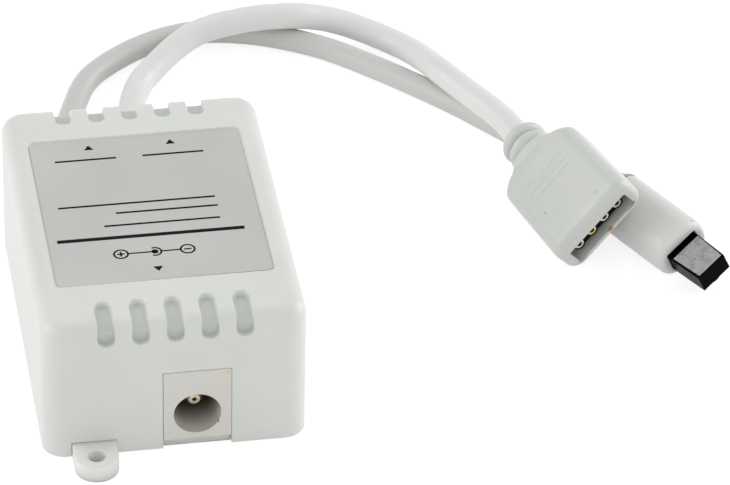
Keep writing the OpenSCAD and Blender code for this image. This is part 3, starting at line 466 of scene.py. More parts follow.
# %% Cover sizes
case_low, case_high = (np.round(np.array(corner) / MM, 3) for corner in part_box("upper_case"))
CASE_W, CASE_L, CASE_H = case_high - case_low * [1, 1, 0]
CORNER_R, TOP_EDGE_R, WALL_T, ROOF_T = 3.0, 2.1, 1.8, 1.8
GROOVE_COUNT, GROOVE_PITCH, GROOVE_W, GROOVE_DEPTH = 5, 4.55, 2.2, 0.75
FRONT_REACH, REAR_REACH, GROOVE_DROP, GROOVE_SOFT = 5.4, 4.6, 3.25, 0.13
RECESS_W, RECESS_L, RECESS_DEPTH, RECESS_R = 29.1, 33.0, 0.3, 1.0
RECESS_X, RECESS_Y, RECESS_SOFT = -0.1, 0.5, 0.09
LIP_R = 0.12
CORNER_X, CORNER_Y = CASE_W / 2 - CORNER_R, CASE_L / 2 - CORNER_R
ROOF_R = CORNER_R - TOP_EDGE_R
INNER_R = CORNER_R - WALL_T
WALL_TOP_Z, CEILING_Z = CASE_H - TOP_EDGE_R, CASE_H - ROOF_T

# Openings in the front and back walls: wall side, left, right, top, and radius of an arch
# over the top or 0
OPENINGS = [(-1, -1.75, 7.35, 12.45, 0), (-1, -13.85, -7.95, 2.2, 0), (1, 7.95, 13.85, 2.2, 0),
            (1, 0.65, 4.95, 4.2, 2.15), (1, -8.95, -5.05, 4.0, 1.95)]
print("cover:", CASE_W, CASE_L, CASE_H, "mm, openings:", len(OPENINGS))

# %% Grid lines of the cover
groove_x = (np.arange(GROOVE_COUNT) - (GROOVE_COUNT - 1) / 2) * GROOVE_PITCH
front_end_y = CASE_L / 2 - FRONT_REACH + GROOVE_W / 2
rear_end_y = CASE_L / 2 - REAR_REACH + GROOVE_W / 2
groove_end_z = CASE_H - GROOVE_DROP + GROOVE_W / 2
soft_steps = np.array([-1, -0.72, -0.45, -0.2, 0.05, 0.3, 0.6, 1])
lip_steps = LIP_R * np.array([0, 0.12, 0.35, 0.65, 1])
LEAST_STEP = 0.012


def lines_between(low, high, widest, *groups):
    """The wanted positions between low and high, sorted, none doubled, and more put in
    evenly where two neighbours are further apart than widest."""
    wanted = np.concatenate([[low, high], *[np.ravel(g) for g in groups]])
    wanted = thinned(np.sort(wanted[(wanted >= low) & (wanted <= high)]), LEAST_STEP)
    wanted[-1] = high
    filled = [np.linspace(a, b, int(np.ceil((b - a) / widest)), endpoint=False)
              for a, b in zip(wanted[:-1], wanted[1:])]
    return np.concatenate([*filled, [high]])


def both(centre, offsets):
    """The offsets on both sides of a centre."""
    return np.concatenate([centre - offsets, centre + offsets])


round_end = GROOVE_W / 2 * np.sin(np.radians(np.arange(0, 66, 9)))
groove_lines = [np.concatenate([both(x, GROOVE_W / 2 + GROOVE_SOFT * soft_steps),
                                both(x, round_end)]) for x in groove_x]
opening_lines = [np.concatenate([left - lip_steps, right_x + lip_steps])
                 for side, left, right_x, top, arch in OPENINGS]
arch_lines = [(left + right_x) / 2 + arch * np.cos(np.linspace(0, np.pi, 15))
              for side, left, right_x, top, arch in OPENINGS if arch]
recess_steps = RECESS_SOFT * np.array([-1, -0.4, 0.2, 1])
recess_round = RECESS_R * np.linspace(0, 1, 7)
recess_x_lines = both(RECESS_X, RECESS_W / 2 - recess_round)
recess_y_lines = [both(RECESS_Y, RECESS_L / 2 - recess_round),
                  both(RECESS_Y, RECESS_L / 2 + recess_steps)]
x_lines = lines_between(-CORNER_X, CORNER_X, 1.2, *groove_lines, *opening_lines, *arch_lines,
                        recess_x_lines)
end_steps = np.arange(-GROOVE_W / 2 - GROOVE_SOFT, 0.1, 0.08)
y_lines = lines_between(-CORNER_Y, CORNER_Y, 2.4, *recess_y_lines, -front_end_y - end_steps,
                        rear_end_y + end_steps)
z_lines = lines_between(0, WALL_TOP_Z, 1.6, lip_steps, groove_end_z + end_steps,
                        *[top + lip_steps for side, left, right_x, top, arch in OPENINGS])
print("cover lines:", len(x_lines), len(y_lines), len(z_lines))

# %% Skins of the cover
turns = np.sqrt(2) * np.sin(np.radians(np.linspace(0, 45, 9)))[1:]
recess_corner = (RECESS_W / 2 - RECESS_X - CORNER_X
                 + RECESS_SOFT * np.array([-1, 0.2, 1])) / ROOF_R
x_turns = np.sort(np.concatenate([turns, recess_corner[recess_corner > 0.02]]))


def with_corners(straight, edge, zone):
    """Grid coordinates: the straight lines, and beyond each end the corner's, where a
    distance of 1 stands for the full radius."""
    return np.concatenate([-edge - zone[::-1], straight, edge + zone])


grid_x, grid_y = np.meshgrid(with_corners(x_lines, CORNER_X, x_turns),
                             with_corners(y_lines, CORNER_Y, turns))
rows_y, rows_x = grid_x.shape


def drawn_round(radius):
    """A square corner zone with u and v from 0 to 1 becomes a quarter disc: u times the root
    of 1 - v squared / 2, and v times the root of 1 - u squared / 2."""
    u = np.clip(np.abs(grid_x) - CORNER_X, 0, None)
    v = np.clip(np.abs(grid_y) - CORNER_Y, 0, None)
    x = np.minimum(np.abs(grid_x), CORNER_X) + radius * u * np.sqrt(1 - v * v / 2)
    y = np.minimum(np.abs(grid_y), CORNER_Y) + radius * v * np.sqrt(1 - u * u / 2)
    return np.column_stack([(np.sign(grid_x) * x).ravel(), (np.sign(grid_y) * y).ravel()])


def at_height(xy, z):
    """Points from rows of x and y, all at one height."""
    return np.column_stack([xy, np.full(len(xy), z)])


roof_index = np.arange(rows_x * rows_y).reshape(rows_y, rows_x)
edge_loop = np.concatenate([roof_index[0, :-1], roof_index[:-1, -1], roof_index[-1, :0:-1],
                            roof_index[:0:-1, 0]])
roof_xy = drawn_round(ROOF_R)
loop_xy = roof_xy[edge_loop]
hub_xy = np.clip(loop_xy, [-CORNER_X, -CORNER_Y], [CORNER_X, CORNER_Y])
outward = (loop_xy - hub_xy) / ROOF_R

edge_turn = np.radians(np.linspace(90, 0, 9))[1:]
wall_reach = np.concatenate([ROOF_R + TOP_EDGE_R * np.cos(edge_turn),
                             np.full(len(z_lines) - 1, CORNER_R)])
wall_z = np.concatenate([WALL_TOP_Z + TOP_EDGE_R * np.sin(edge_turn), z_lines[-2::-1]])
wall_lean = np.concatenate([np.sin(edge_turn), np.zeros(len(z_lines) - 1)])


def with_third(xy, third):
    """Rows of x and y that get a third number, the same all along a row."""
    return np.concatenate([xy, np.broadcast_to(third[:, None, None], (*xy.shape[:2], 1))],
                          axis=-1)


def walls(reach, height):
    """Points of the walls: each row stands out from the corner centres by its reach."""
    return with_third(hub_xy[None] + reach[:, None, None] * outward[None], height)


def arched(points):
    """Lifts the rows over an arched opening: by the arch's height over its springing line,
    and less and less up to three radii above it."""
    lifted = points.copy()
    for side, left, right_x, top, arch in OPENINGS:
        if arch:
            x = points[..., 0] - (left + right_x) / 2
            over = np.sqrt(np.clip(arch**2 - x**2, 0, None))
            fade = np.clip(1 - (points[..., 2] - top) / (3 * arch), 0, 1)
            here = (side * points[..., 1] > CORNER_Y) & (points[..., 2] >= top - 1e-6)
            lifted[..., 2] += np.where(here, over * fade, 0)
    return lifted


flat_walls = walls(wall_reach, wall_z)
outer = np.concatenate([at_height(roof_xy, CASE_H), arched(flat_walls).reshape(-1, 3)])
lean = np.sqrt(1 - wall_lean**2)[:, None, None] * outward[None]
normals = np.concatenate([np.tile([0.0, 0.0, 1.0], (len(roof_xy), 1)),
                          with_third(lean, wall_lean).reshape(-1, 3)])
print("outer skin:", len(roof_xy), "points on the roof,", len(outer), "in all")

# %% Depth of grooves, recess and lips
def groove_depth_at(p):
    """Distance to a groove's middle line, which runs over the edge and ends in half circles;
    full depth inside, none outside, and a smooth step between."""
    nearest = np.min(np.abs(p[:, :1] - groove_x[None]), axis=1)
    end_y = np.where(p[:, 1] < 0, front_end_y, rear_end_y)
    on_roof = np.clip(end_y - np.abs(p[:, 1]), 0, None)
    on_wall = np.clip(groove_end_z - p[:, 2], 0, None)
    away = np.sqrt(nearest**2 + on_roof**2 + on_wall**2)
    return GROOVE_DEPTH * (1 - smoothstep(away, GROOVE_W / 2 - GROOVE_SOFT,
                                          GROOVE_W / 2 + GROOVE_SOFT))


def recess_depth_at(p):
    """Distance to a rectangle with round corners, on the roof only."""
    x = np.abs(p[:, 0] - RECESS_X) - RECESS_W / 2 + RECESS_R
    y = np.abs(p[:, 1] - RECESS_Y) - RECESS_L / 2 + RECESS_R
    away = np.hypot(np.clip(x, 0, None), np.clip(y, 0, None)) + np.minimum(np.maximum(x, y), 0)
    inside = 1 - smoothstep(away - RECESS_R, -RECESS_SOFT, RECESS_SOFT)
    return RECESS_DEPTH * inside * (p[:, 2] > CASE_H - 0.01)


def lip_depth_at(p):
    """A quarter circle of the lip's radius beside the bottom edge and every opening."""
    away = p[:, 2].copy()
    for side, left, right_x, top, arch in OPENINGS:
        beside = np.maximum(left - p[:, 0], p[:, 0] - right_x)
        above = p[:, 2] - top
        gap = np.hypot(np.clip(beside, 0, None), np.clip(above, 0, None))
        if arch:
            ring = np.hypot(p[:, 0] - (left + right_x) / 2, above) - arch
            gap = np.where(above > 0, ring, beside)
        on_wall = side * p[:, 1] > CORNER_Y + ROOF_R
        away = np.where(on_wall, np.minimum(away, np.clip(gap, 0, None)), away)
    inside = np.clip(LIP_R - away, 0, None)
    return LIP_R - np.sqrt(LIP_R**2 - inside**2)


groove_depth = groove_depth_at(outer)
depth = groove_depth + recess_depth_at(outer) + lip_depth_at(outer)
outer -= normals * depth[:, None]
print("deepest point:", round(float(depth.max()), 2), "mm")

# %% Inner skin and rim
free_rows = wall_z > CEILING_Z - 2
inner_z = wall_z.copy()
inner_z[free_rows] = np.linspace(CEILING_Z, wall_z[~free_rows][0], free_rows.sum() + 2)[1:-1]
inner = np.concatenate([at_height(drawn_round(INNER_R), CEILING_Z),
                        arched(walls(np.full_like(wall_z, INNER_R), inner_z)).reshape(-1, 3)])

columns = len(edge_loop)
wall_index = rows_x * rows_y + np.arange(len(wall_z) * columns).reshape(len(wall_z), columns)
hanging = np.concatenate([edge_loop[None], wall_index])
next_column = np.roll(hanging, -1, axis=1)
wall_faces = np.stack([hanging[:-1], hanging[1:], next_column[1:], next_column[:-1]], axis=-1)
flat_points = np.concatenate([np.full((columns, 3), CASE_H)[None], flat_walls])
pairs = flat_points + np.roll(flat_points, -1, axis=1)
middle = (pairs[:-1] + pairs[1:]) / 4
is_open = np.zeros(middle.shape[:2], bool)
for side, left, right_x, top, arch in OPENINGS:
    is_open |= ((side * middle[..., 1] > CORNER_Y + ROOF_R) & (middle[..., 0] > left)
                & (middle[..., 0] < right_x) & (middle[..., 2] < top))
skin = np.concatenate([grid_faces(rows_y, rows_x), wall_faces[~is_open]])


def rim_faces(faces, offset):
    """Faces between two skins: from each edge that only one face uses, to the same edge of
    the other skin, whose points come offset places later."""
    edges = np.concatenate([faces[:, [k, (k + 1) % 4]] for k in range(4)])
    tag = np.sort(edges, axis=1) @ [len(faces) * 4, 1]
    _, first, count = np.unique(tag, return_index=True, return_counts=True)
    lone = edges[first[count == 1]]
    return np.stack([lone[:, 1], lone[:, 0], lone[:, 0] + offset, lone[:, 1] + offset], axis=-1)


def used_only(points, faces):
    """The points that the faces use, and the faces with their corners numbered anew."""
    used, corners = np.unique(np.concatenate([f.ravel() for f in faces]), return_inverse=True)
    cuts = np.cumsum([f.size for f in faces])[:-1]
    return points[used], [part.reshape(f.shape)
                          for part, f in zip(np.split(corners.ravel(), cuts), faces)]


def round_bar(x, y, low, high, radius, sides=24):
    """Points and faces of a closed upright cylinder."""
    angle = np.linspace(0, 2 * np.pi, sides, endpoint=False)
    ring = np.stack([x + radius * np.cos(angle), y + radius * np.sin(angle)], axis=-1)
    points = np.concatenate([at_height(ring, low), at_height(ring, high),
                             [[x, y, low], [x, y, high]]])
    return points, [grid_faces(2, sides, closed=True), fan_faces(0, sides, 2 * sides, flip=True),
                    fan_faces(sides, sides, 2 * sides + 1)]


PILLAR_X, PILLAR_Y, PILLAR_R, PILLAR_Z, INTO_ROOF = 13.5, 12.04, 1.2, 14.3, 0.2
shell = (np.concatenate([outer, inner]),
         [skin, skin[:, ::-1] + len(outer), rim_faces(skin, len(outer))])
pillars = [round_bar(x, y, PILLAR_Z, CEILING_Z + INTO_ROOF, PILLAR_R)
           for x in (-PILLAR_X, PILLAR_X) for y in (-PILLAR_Y, PILLAR_Y)]
points, faces = joined([shell, *pillars])

# How much painted shade each point gets: only in the grooves, and more so towards their lower
# ends
GROOVE_SHADE_TOP = 0.4
down = np.clip((CASE_H - outer[:, 2]) / GROOVE_DROP, 0, 1)
groove_shade = np.zeros(len(points))
groove_shade[:len(outer)] = groove_depth / GROOVE_DEPTH * (GROOVE_SHADE_TOP + (1 - GROOVE_SHADE_TOP) * down)
points, faces = used_only(np.column_stack([points, groove_shade]), faces)
cover = make_piece("cover_shell", points[:, :3], faces, cover_white, "cover", 40)
cover.data.attributes.new("groove_shade", "FLOAT", "POINT").data.foreach_set(
    "value", points[:, 3].astype(np.float32))
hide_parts("upper_case")

# %% [markdown]
# ## Softened solids
#
# Some solids have the right shape and only need their edges broken: the power socket, the
# base plate with its ears, the receiver. Their meshes arrive as loose triangles, so a copy
# is merged, its flat faces are joined again, and a bevel rounds the sharp edges. The frame's
# own mesh stays as it is.

# %% Softened copies
import bmesh


def softened(name, node, finish, edge_mm, sharp=32):
    """A copy of a solid with merged corners and rejoined flats, its sharp edges rounded."""
    mesh = bpy.data.meshes.new(name)
    work = bmesh.new()
    work.from_mesh(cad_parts[node].data)
    bmesh.ops.remove_doubles(work, verts=work.verts, dist=0.002 * MM)
    bmesh.ops.dissolve_limit(work, angle_limit=np.radians(0.5), verts=work.verts,
                             edges=work.edges)
    work.to_mesh(mesh)
    work.free()
    piece = as_piece(name, mesh, finish, "base", sharp)
    edge = piece.modifiers.new("soft edge", "BEVEL")
    edge.width, edge.segments, edge.angle_limit = edge_mm * MM, 2, np.radians(sharp)
    edge.harden_normals = False
    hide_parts(node)


softened("socket_housing", "dc_jack_body", socket_white, 0.1)
softened("base_with_ears", "base_plate", base_white, 0.15)

# %% [markdown]
# ## Pieces built along an axis
#
# Both cable ends are overmoulded pieces: a section with round corners that changes along
# their axis, from a mouth in front to a neck round the cable. Every section is described by
# its width, thickness and corner radius, and is cut by the same set of rays from its
# middle, so neighbouring sections always match, even where a rectangle turns into a circle.

# %% Sections along an axis
def section(angles, width, thickness, radius, lift=0.0):
    """Where rays from the middle cross a rectangle with round corners: on its side, on its
    top, or on the circle of a corner."""
    a, b = width / 2, thickness / 2
    r = min(radius, a, b)
    c, s = np.abs(np.cos(angles)), np.abs(np.sin(angles))
    side = a / np.maximum(c, 1e-9)
    top = b / np.maximum(s, 1e-9)
    hub_x, hub_y = a - r, b - r
    off = c * hub_y - s * hub_x
    corner = c * hub_x + s * hub_y + np.sqrt(np.clip(r * r - off * off, 0, None))
    reach = np.where(side * s <= hub_y, side, np.where(top * c <= hub_x, top, corner))
    return np.stack([reach * np.cos(angles), reach * np.sin(angles) + lift], axis=-1)


def ray_angles(*outlines, spacing=0.3):
    """Ray angles that are about evenly spaced along each outline of width, thickness and
    radius: many rays are cast, and one is kept for each step along the outline."""
    kept = []
    dense = np.linspace(0, np.pi / 2, 4001)
    for outline in outlines:
        p = section(dense, *outline)
        run = run_along(p)
        kept.append(np.interp(np.linspace(0, run[-1], int(run[-1] / spacing) + 1), run, dense))
    quarter = thinned(np.unique(np.round(np.concatenate(kept), 4)), 0.004)
    quarter = quarter[quarter < np.pi / 2 - 0.002]
    half = np.concatenate([quarter, [np.pi / 2], np.pi - quarter[:0:-1]])
    return np.concatenate([half, half + np.pi])


def placed(points, at, heading, roll):
    """Leans the points about the axis Y by roll, turns them by heading, and moves them."""
    lean_by, turn = np.radians(roll), np.radians(heading)
    x = points[:, 0] * np.cos(lean_by) - points[:, 2] * np.sin(lean_by)
    z = points[:, 0] * np.sin(lean_by) + points[:, 2] * np.cos(lean_by)
    y = points[:, 1]
    return np.stack([x * np.cos(turn) - y * np.sin(turn), x * np.sin(turn) + y * np.cos(turn),
                     z], axis=-1) + at

# %% Skins through sections
UNDER_JACKET = 0.1
ROLL_STEPS = np.array([0, 0.03, 0.1, 0.2, 0.35, 0.55, 0.8, 1])


def between(one, other, share):
    """Sizes between those of one, where share is 0, and of other, where it is 1."""
    return [a + (b - a) * share for a, b in zip(one, other)]


def mouth_lip(width, height, corner_r, lift, lip_r):
    """Stations (back, width, thickness, radius, lift) that roll from a mouth's walls out to
    its front edge: a quarter circle of lip_r in three steps."""
    turned = [(lip_r - lip_r * np.sin(turn), lip_r * (1 - np.cos(turn)))
              for turn in np.radians([30, 60, 90])]
    return [(back_at, width + 2 * grow, height + 2 * grow, corner_r + grow, lift)
            for back_at, grow in turned]


def front_roll(back_at, inset, length):
    """How far the section is drawn in at a distance behind the front: a quarter ellipse."""
    t = np.clip(1 - back_at / length, 0, 1)
    return inset * (1 - np.sqrt(1 - t * t))


def lofted(name, angles, stations, finish, at, heading, roll, carve=None):
    """One closed skin through the sections at the stations, from the floor of its mouth, out
    over the front and back to the neck."""
    rings = [np.insert(section(angles, w, t, r, lift), 1, back_at, axis=1)
             for back_at, w, t, r, lift in stations]
    count = len(angles)
    points = np.concatenate(rings)
    if carve is not None:
        points = carve(points)
    hubs = [[0, stations[0][0], stations[0][4]], [0, stations[-1][0], stations[-1][4]]]
    points = np.concatenate([points, hubs])
    last = (len(stations) - 1) * count
    faces = [grid_faces(len(stations), count, closed=True)[:, ::-1],
             fan_faces(0, count, len(points) - 2),
             fan_faces(last, count, len(points) - 1, flip=True)]
    points = placed(points, at, heading, roll)
    return make_piece(name, points, faces, finish, "base", 40)

# %% [markdown]
# ## Socket for the strip of lights
#
# The flat connector lies on one long edge. Its mouth is a slot with four round contacts in a
# black insert. The skin starts on the mouth's floor, comes out along its walls, rolls over
# the front edge, runs back with a slight taper, and draws in over the shoulder to a neck
# with two ring ribs. Three faint grip lines cross its upper side.

# %% Connector skin
MOUTH_W, MOUTH_H, MOUTH_R, MOUTH_FLOOR, MOUTH_LIFT = 11.1, 2.65, 0.12, 7.6, -0.645
PLUG_REAR_W, PLUG_L, PLUG_FRONT_IN, PLUG_FRONT_L = 13.7, 15.0, 0.9, 1.3
SHOULDER_W, SHOULDER_L, NECK_FRONT_W, NECK_W, NECK_T, NECK_L = 10.9, 2.0, 10.0, 7.6, 5.2, 1.8
RIB_COUNT, RIB_L, RIB_GAP, RIB_D, RIB_CORE_D = 2, 1.9, 0.2, 6.7, 5.3
GRIP_COUNT, GRIP_L, GRIP_W, GRIP_DEPTH, GRIP_PITCH, GRIP_BACK = 3, 7.5, 0.45, 0.1, 1.3, 9.8
MOUTH_LIP_R, GRIP_FLAT, GRIP_FADE, GRIP_STEP = 0.1, 0.05, 0.4, 0.11
SHOULDER_BEND, NECK_GAP, RIB_SHIFT, GRIP_TOP = 1.7, 0.15, 0.02, 0.2
STEP_L, STEP_W, STEP_T = 0.08, 0.9, 0.1

plug_stations = [(back_at, MOUTH_W, MOUTH_H, MOUTH_R, MOUTH_LIFT)
                 for back_at in (MOUTH_FLOOR, 4, 1.5, 0.5, 0.15)]
plug_stations += mouth_lip(MOUTH_W, MOUTH_H, MOUTH_R, MOUTH_LIFT, MOUTH_LIP_R)
body_steps = np.concatenate([PLUG_FRONT_L * ROLL_STEPS, np.arange(2.3, GRIP_BACK - 0.6, 1.1),
                             np.arange(GRIP_BACK - 0.5, GRIP_BACK + 3.4, GRIP_STEP),
                             [13.8, 14.5]])
for back_at in body_steps:
    drawn = 2 * front_roll(back_at, PLUG_FRONT_IN, PLUG_FRONT_L)
    width = PLUG_W + (PLUG_REAR_W - PLUG_W) * back_at / PLUG_L
    plug_stations.append((back_at, width - drawn, PLUG_T - drawn, PLUG_R - drawn / 4, 0))
shoulder = (SHOULDER_W, NECK_T, PLUG_R)
for t in np.linspace(0, 1, 9):
    plug_stations.append((PLUG_L + SHOULDER_L * t,
                          *between((PLUG_REAR_W, PLUG_T, PLUG_R), shoulder, t**SHOULDER_BEND), 0))
neck_start = PLUG_L + SHOULDER_L
plug_stations.append((neck_start + STEP_L, SHOULDER_W - STEP_W, NECK_T - STEP_T, PLUG_R, 0))
for t in np.linspace(0, 1, 7):
    width = NECK_FRONT_W + (NECK_W - NECK_FRONT_W) * np.sin(t * np.pi / 2)
    plug_stations.append((neck_start + NECK_GAP + (NECK_L - NECK_GAP) * t, width, NECK_T,
                          PLUG_R + (NECK_T / 2 - PLUG_R) * t, 0))
rib_centre_r = (RIB_D - RIB_L) / 2
for k in range(RIB_COUNT):
    rib_at = neck_start + NECK_L + k * (RIB_L + RIB_GAP)
    for t in np.cos(np.linspace(np.pi, 0, 13)):
        over_rib = 2 * max(RIB_CORE_D / 2, rib_centre_r + RIB_L / 2 * np.sqrt(1 - t * t))
        plug_stations.append((rib_at + RIB_L / 2 * (1 + t) + RIB_SHIFT, *[over_rib] * 3, 0))
plug_stations += [(PLUG_REAR, *[RIB_CORE_D] * 3, 0),
                  (PLUG_REAR, *[STRIP_D - UNDER_JACKET] * 2, STRIP_D, 0)]


def grip_lines(points):
    """Three shallow lines on the upper side, deepest in their middle, fading at their ends."""
    carved = points.copy()
    lines = GRIP_BACK + GRIP_PITCH * np.arange(GRIP_COUNT)
    away = np.min(np.abs(points[:, 1:2] - lines[None]), axis=1)
    deep = GRIP_DEPTH * (1 - smoothstep(away, GRIP_FLAT, GRIP_W / 2))
    deep *= 1 - smoothstep(np.abs(points[:, 0]), GRIP_L / 2 - GRIP_FADE, GRIP_L / 2)
    carved[:, 2] -= np.where(points[:, 2] > PLUG_T / 2 - GRIP_TOP, deep, 0)
    return carved


plug_angles = ray_angles((PLUG_W, PLUG_T, PLUG_R), (MOUTH_W, MOUTH_H, MOUTH_R), spacing=0.33)
plug_shell = lofted("strip_connector_shell", plug_angles, plug_stations, plug_white, PLUG_AT,
                    PLUG_HEADING, PLUG_ROLL, carve=grip_lines)
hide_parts("strip_connector_body")

# %% [markdown]
# ## Receiver head
#
# The other cable ends in a small soft head with almost fully round sides. The receiver sits
# in a pocket in its front, nearer to the upper face than to the lower one.

# %% Receiver head skin
POCKET_W, POCKET_T, POCKET_TOP, POCKET_FLOOR, POCKET_R, POCKET_GAP = 5.2, 3.3, 1.5, 3.6, 0.2, 0.04
HEAD_FRONT_IN, HEAD_FRONT_L, HEAD_TAPER_L, POCKET_LIP_R = 0.8, 1.1, 3.3, 0.22
HEAD_END_W, HEAD_END_T, HEAD_END_R = 6.4, 5.2, 2.4
pocket = (POCKET_W + POCKET_GAP, POCKET_T + POCKET_GAP, POCKET_R, POCKET_TOP - POCKET_T / 2)
head_stations = [(back_at, *pocket) for back_at in (POCKET_FLOOR, 2, 0.6, 0.28)]
head_stations += mouth_lip(*pocket, POCKET_LIP_R)
for back_at in [*(HEAD_FRONT_L * ROLL_STEPS), 3, 5, 7.5, 10, 12.5, 14.5, HEAD_L - HEAD_TAPER_L]:
    drawn = 2 * front_roll(back_at, HEAD_FRONT_IN, HEAD_FRONT_L)
    head_stations.append((back_at, HEAD_W - drawn, HEAD_T - drawn, HEAD_R - drawn / 2, 0))
for t in np.linspace(0, 1, 9)[1:]:
    sizes = between((HEAD_W, HEAD_T, HEAD_R), (HEAD_END_W, HEAD_END_T, HEAD_END_R),
                    t * t * (2 - t))
    head_stations.append((HEAD_L - HEAD_TAPER_L * (1 - t), *sizes, 0))
head_stations.append((HEAD_L, *[IR_D - UNDER_JACKET] * 2, IR_D, 0))
head_angles = ray_angles((HEAD_W, HEAD_T, HEAD_R), (POCKET_W, POCKET_T, POCKET_R))
head_shell = lofted("receiver_head_shell", head_angles, head_stations, head_white, HEAD_AT,
                    HEAD_HEADING, HEAD_ROLL)
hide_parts("ir_head_body")

# %% [markdown]
# ## Dark resin, metal and foil
#
# The receiver is a block of glossy black resin with a dull grey plate on its flat side. The
# contacts are turned from plated brass, and one of them gets a painted golden reflection. The
# label is a silver grey foil with a satin sheen.

# %% Dark and metal finishes
def metal(name, light, dark, rough):
    """A metal whose two tints and gloss change in clouds, with fine scratches as bumps."""
    made = Finish(name, Metallic=1.0).tints(light, dark, 0.8, 3, 0.35, 0.65)
    made.sheen(0.4, 2, rough - 0.06, rough + 0.08)
    made.bump((made.noise(0.08, stretch=(1, 1, 6)), 0.003))
    return made


def resin(name, light, dark, rough, pit_mm=0.25, shine=0.5):
    """Dark plastic with a few soft pits."""
    made = Finish(name, IOR=1.5, Specular_IOR_Level=shine)
    made.tints(light, dark, 1.2, 3, 0.35, 0.65)
    made.sheen(0.7, 3, rough - 0.05, rough + 0.08)
    made.bump((made.noise(pit_mm, 3), 0.008))
    return made


contact_plate = metal("plated contact", (0.9, 0.89, 0.85), (0.78, 0.77, 0.72), 0.3)
# Painted reflection: a golden cast on one contact, standing in for warm light caught by its
# plating
contact_plate.stain_and_reflection_spot((62.3, 7.75, 5.05), 1.6, (0.88, 0.76, 0.42), 0.9)
pin_plate = metal("plated pin", (0.82, 0.77, 0.68), (0.7, 0.65, 0.56), 0.3)
tin_plate = metal("tinned metal", (0.85, 0.85, 0.86), (0.75, 0.75, 0.77), 0.32)
spring_metal = metal("spring metal", (0.82, 0.81, 0.77), (0.72, 0.71, 0.68), 0.28)
black_resin = resin("receiver resin", (0.012,) * 3, (0.006,) * 3, 0.2, shine=0.02)
chip_black = resin("chip resin", (0.13, 0.13, 0.135), (0.1, 0.1, 0.105), 0.45, 0.08)
insert_black = resin("insert resin", (0.015,) * 3, (0.01,) * 3, 0.4, shine=0.08)

shield_grey = Finish("receiver plate", Metallic=0.3)
specks = shield_grey.band(shield_grey.noise(0.16, 4), 0.42, 0.6)
smudges = shield_grey.band(shield_grey.noise(1.4, 3), 0.45, 0.65, 0, 0.6)
speckled = shield_grey.blend(specks, (0.62, 0.62, 0.62), (0.72, 0.72, 0.715))
shield_grey.shade("Base Color", shield_grey.blend(smudges, speckled, (0.52, 0.52, 0.53)))
shield_grey.shade("Roughness", shield_grey.band(specks, 0, 1, 0.75, 0.5))
shield_grey.bump((specks, 0.02))

foil = Finish("label foil", Metallic=0.25)
foil.tints((0.795, 0.797, 0.785), (0.755, 0.757, 0.745), 22)
foil.sheen(1.5, 3, 0.42, 0.5)
foil.bump((foil.noise(6), 0.01), (foil.noise(0.12), 0.001))

board_green = Finish("board lacquer", Roughness=0.35)
grain = board_green.band(board_green.noise(2.2, 3, (1, 0.25, 1)), 0.48, 0.52)
board_green.shade("Base Color", board_green.blend(grain, (0.09, 0.36, 0.19), (0.07, 0.3, 0.16)))
board_green.bump((grain, 0.02))

cap_sleeve = Finish("capacitor sleeve", Roughness=0.4).tints((0.15, 0.17, 0.23),
                                                            (0.12, 0.14, 0.2), 2)
ceramic = Finish("ceramic", Roughness=0.5).tints((0.74, 0.62, 0.47), (0.68, 0.56, 0.42), 0.6)
wire_red = Finish("wire insulation", Roughness=0.4).tints((0.7, 0.12, 0.1), (0.62, 0.1, 0.09), 3)
print("materials so far:", len(bpy.data.materials))

# %% Finishes of the solids that stay
softened("receiver_block", "ir_receiver", black_resin, 0.09, sharp=20)
WORN_BY = (
    (foil, "rating_label"), (shield_grey, "ir_receiver_face"), (board_green, "circuit_board"),
    (pin_plate, "dc_jack_centre_pin"), (spring_metal, "dc_jack_leaf_spring"),
    (tin_plate, "dc_jack_spring_terminal dc_jack_switch_terminal chip_leads transistor_tabs "
                "capacitor_leads solder_joints ir_receiver_legs"),
    (chip_black, "microcontroller memory_chip output_transistors voltage_regulator "
                 "protection_diode chip_resistors"),
    (cap_sleeve, "input_capacitor filter_capacitor"), (ceramic, "chip_capacitors"),
    (cable_white, "strip_cable_inner_end"), (grey_cable_white, "ir_cable_inner_end"),
    (wire_red, "strip_cable_wires ir_cable_wires strip_connector_wires ir_head_wires"),
    (nylon_white, "strip_cable_tie ir_cable_tie"), (insert_black, "strip_socket_insert"),
    (contact_plate, "strip_socket_contacts"))
for finish, nodes in WORN_BY:
    for node in nodes.split():
        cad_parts[node].material_slots[0].material = finish.material
    print(finish.material.name, "on", nodes)

# %% Cord facts
print("cords:", strip_cable.name, ir_cable.name)

# %% [markdown]
# ## Print on the label
#
# The label keeps only signs that any such box could have: an arrow at each connection, the
# polarity of the socket, and blank ruled lines. They are thin raised shapes, about a
# hundredth of a millimetre above the foil, so they stay sharp from any distance.

# %% Label print
ink = Finish("label ink", Roughness=0.6, Specular_IOR_Level=0.1)
ink.tints((0.02,) * 3, (0.05,) * 3, 0.8, 3, 0.4, 0.7)
INK_T, INK_SUNK = 0.012, 0.004
ink_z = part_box("rating_label")[1][2] / MM


def ring_band(x, y, radius, width, sides=40, start=0.0, end=2 * np.pi):
    """Inner and outer points of a band that follows a circle."""
    angle = np.linspace(start, end, sides + 1)
    ring = np.stack([np.cos(angle), np.sin(angle)], axis=-1)
    return [x, y] + (radius - width / 2) * ring, [x, y] + (radius + width / 2) * ring


def level_bar(left, right_x, y, width):
    """Both long sides of a level bar."""
    return [np.array([[left, y + half], [right_x, y + half]]) for half in (width / 2, -width / 2)]


def band_solid(inner_side, outer_side):
    """Closed strip of the ink's thickness between two rows of points."""
    count = len(inner_side)
    low, high = ink_z - INK_SUNK, ink_z + INK_T
    rows = np.stack([at_height(inner_side, low), at_height(outer_side, low),
                     at_height(outer_side, high), at_height(inner_side, high)], axis=1)
    last = 4 * count
    return rows.reshape(-1, 3), [
        grid_faces(count, 4, closed=True)[:, ::-1],
        np.array([[0, 1, 2, 3], [last - 1, last - 2, last - 3, last - 4]])]


